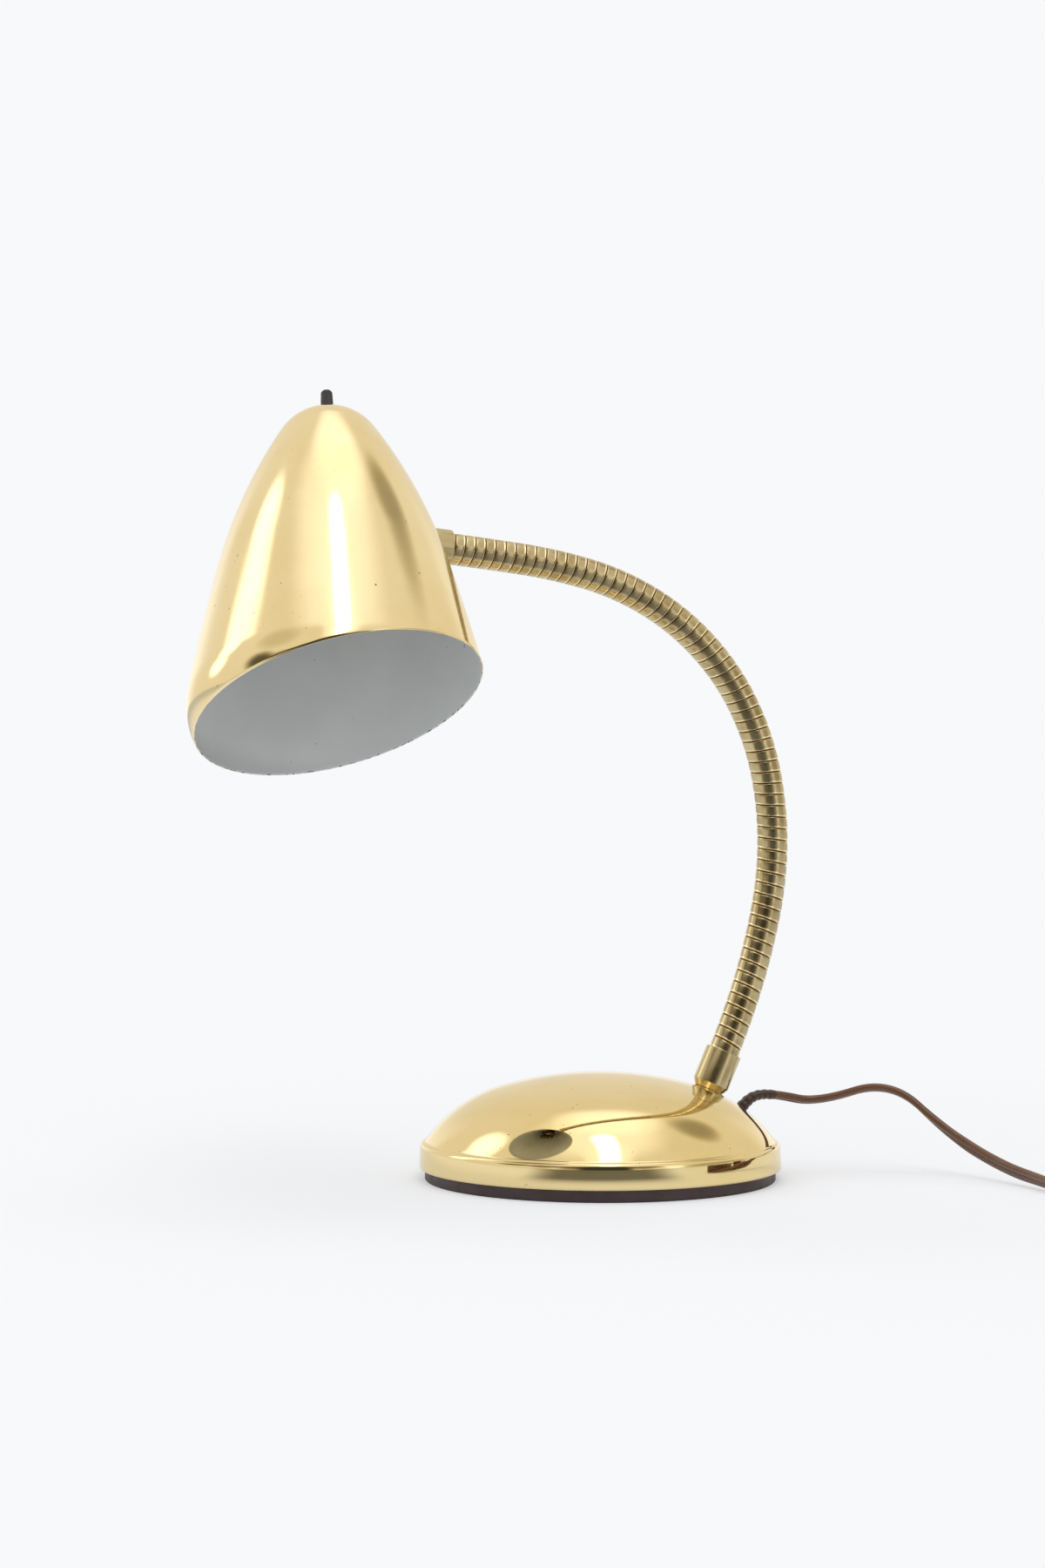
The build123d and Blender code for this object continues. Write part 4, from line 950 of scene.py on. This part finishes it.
# Zones of the reflected room; each covers those before it, and fades out from inner to outer angle.
STUDIO = (                    # azimuth, elevation, inner and outer angle, brightness
    (180, 0, 20, 50, 1.12),   # white sweep behind the lamp
    (0, 90, 6, 30, 1.25),     # soft light overhead
    (170, 74, 4, 20, 1.45),
    (180, 31, 20, 34, 0.84),
    (-60, 46, 4, 18, 0.68),
    (127, 51, 2, 12, 0.40),   # dark flag on the right
    (80, 5, 14, 30, 0.52),
    (-113, 44, 3, 12, 2.00),  # soft box on the left
    (-110, 30, 3, 11, 2.00),
    (-106, 17, 2, 11, 2.00),
    (-58, 16, 5, 15, 0.10),   # dark room behind the camera
    (-38, 15, 6, 16, 0.10),
    (-18, 14, 6, 18, 0.08),
    (26, 13, 6, 15, 0.10),
    (2, 24, 9, 20, 0.07),
    (2, 8, 12, 22, 0.05),
    (2, -8, 12, 22, 0.05),
    (5, 52, 4, 14, 1.30),     # soft light above the camera
    (7, 62, 4, 14, 1.30),
    (11, 73, 4, 14, 1.30),
    (46, -8, 3, 9, 1.30),     # strip on the right
    (46, 5, 3, 9, 1.30),
    (46, 18, 3, 9, 1.30),
) + tuple(                    # narrow strip light above the camera
    (5 + (elevation - 50) / 3, elevation, 1, 6, 3.60) for elevation in range(50, 87, 4)
)
ROOM_LEVEL = 0.87             # brightness of the room between the zones
DIM_LEVEL, BRIGHT_LEVEL = 0.4, 1.3
DIM_TINT = (1.0, 0.90, 0.68, 1.0)
BRIGHT_TINT = (1.0, 1.0, 1.0, 1.0)
FILL_COLOR = (0.95, 0.97, 1.0, 1.0)
FILL_LEVEL = 0.66


def make_world():
    """White studio; in reflections the side of the camera and parts of the right are darker, and
    what is dim is also warmer."""
    world = bpy.data.worlds.new("studio")
    bpy.context.scene.world = world
    world.use_nodes = True
    tree = world.node_tree
    tree.nodes.clear()
    heading = tree.nodes.new("ShaderNodeTexCoord").outputs["Generated"]
    value = None
    for azimuth, elevation, inner, outer, brightness in STUDIO:
        mix = tree.nodes.new("ShaderNodeMix")
        nearness = along_direction(tree, heading, toward(azimuth, elevation))
        edges = math.cos(math.radians(outer)), math.cos(math.radians(inner))
        tree.links.new(smooth_share(tree, nearness, *edges), mix.inputs[0])
        if value is None:
            mix.inputs[2].default_value = ROOM_LEVEL
        else:
            tree.links.new(value, mix.inputs[2])
        mix.inputs[3].default_value = brightness
        value = mix.outputs[0]
    tint = tree.nodes.new("ShaderNodeMix")
    tint.data_type = "RGBA"
    tree.links.new(smooth_share(tree, value, DIM_LEVEL, BRIGHT_LEVEL), tint.inputs[0])
    tint.inputs[6].default_value = DIM_TINT
    tint.inputs[7].default_value = BRIGHT_TINT
    reflected = tree.nodes.new("ShaderNodeBackground")
    tree.links.new(value, reflected.inputs["Strength"])
    tree.links.new(tint.outputs[2], reflected.inputs["Color"])
    rays = tree.nodes.new("ShaderNodeLightPath")
    fill = plain(tree, "Background", FILL_COLOR, FILL_LEVEL)
    unseen = mixed(tree, rays.outputs["Is Glossy Ray"], fill, reflected)
    world_end = mixed(tree, rays.outputs["Is Camera Ray"], unseen, plain(tree, "Background", WHITE))
    output = tree.nodes.new("ShaderNodeOutputWorld")
    tree.links.new(world_end.outputs[0], output.inputs["Surface"])


FLOOR_REACH = 12.0
FLOOR_PAINT = (0.90, 0.90, 0.905, 1.0)
FLOOR_DARK = (0.10, 0.095, 0.085, 1.0)
FLOOR_GLOW = (0.09, 0.60, 0.42, 1.0)       # distances in metres, and the share of white glow at each
FLOOR_AWAY = (0.14, 0.27, 0.0, 0.9)        # distances in metres, and the share of dark at each
FLOOR_FRONT = (0.68, 0.92)                 # cosines to the camera's side between which it darkens


def make_floor():
    """White floor that keeps the lamp's shadow and runs into the white background. Reflections show
    its part in front of the camera dark."""
    mesh = bpy.data.meshes.new("floor")
    corners = [(-1, -1), (1, -1), (1, 1), (-1, 1)]
    mesh.from_pydata([(x * FLOOR_REACH, y * FLOOR_REACH, 0) for x, y in corners], [], [(0, 1, 2, 3)])
    floor = bpy.data.objects.new("floor", mesh)
    bpy.context.scene.collection.objects.link(floor)
    material = bpy.data.materials.new("floor_white")
    material.use_nodes = True
    tree = material.node_tree
    tree.nodes.clear()
    rays = tree.nodes.new("ShaderNodeLightPath")
    place = tree.nodes.new("ShaderNodeTexCoord").outputs["Object"]
    measured = tree.nodes.new("ShaderNodeVectorMath")
    measured.operation = "LENGTH"
    tree.links.new(place, measured.inputs[0])
    distance = measured.outputs["Value"]
    ahead = along_direction(tree, place, -view_ahead)
    front = smooth_share(tree, worked_out(tree, "DIVIDE", ahead, distance), *FLOOR_FRONT)
    away = smooth_share(tree, distance, *FLOOR_AWAY)
    dark_share = worked_out(tree, "MULTIPLY", front, away)
    glow_share = smooth_share(tree, distance, *FLOOR_GLOW)
    white = mixed(tree, worked_out(tree, "MULTIPLY", glow_share, rays.outputs["Is Camera Ray"]),
                  plain(tree, "BsdfDiffuse", FLOOR_PAINT), plain(tree, "Emission", WHITE))
    floor_end = mixed(tree, worked_out(tree, "MULTIPLY", dark_share, rays.outputs["Is Glossy Ray"]),
                      white, plain(tree, "Emission", FLOOR_DARK))
    output = tree.nodes.new("ShaderNodeOutputMaterial")
    tree.links.new(floor_end.outputs[0], output.inputs["Surface"])
    mesh.materials.append(material)


# ---- the scene -------------------------------------------------------------------------------

make_camera()
make_cord()
make_base()
neck_foot, neck_axis = dome_place(NECK_FOOT_R)
neck_lean = math.atan2(neck_axis.x, neck_axis.z)
make_ferrule("lower_ferrule_turned", neck_foot, neck_axis, "base", "lower_ferrule")
shade_end = shade_center + shade_u * (SHADE_REACH - FERRULE_L)
make_ferrule("upper_ferrule_turned", shade_end, shade_u, neck_joints[-1]["child"], "upper_ferrule")
make_neck(neck_foot, neck_lean)
make_shade()
make_knob()
finish_nodes()

make_world()
make_floor()
for lamp in LAMPS:
    area_lamp(*lamp)

bpy.context.scene.view_settings.view_transform = "Standard"
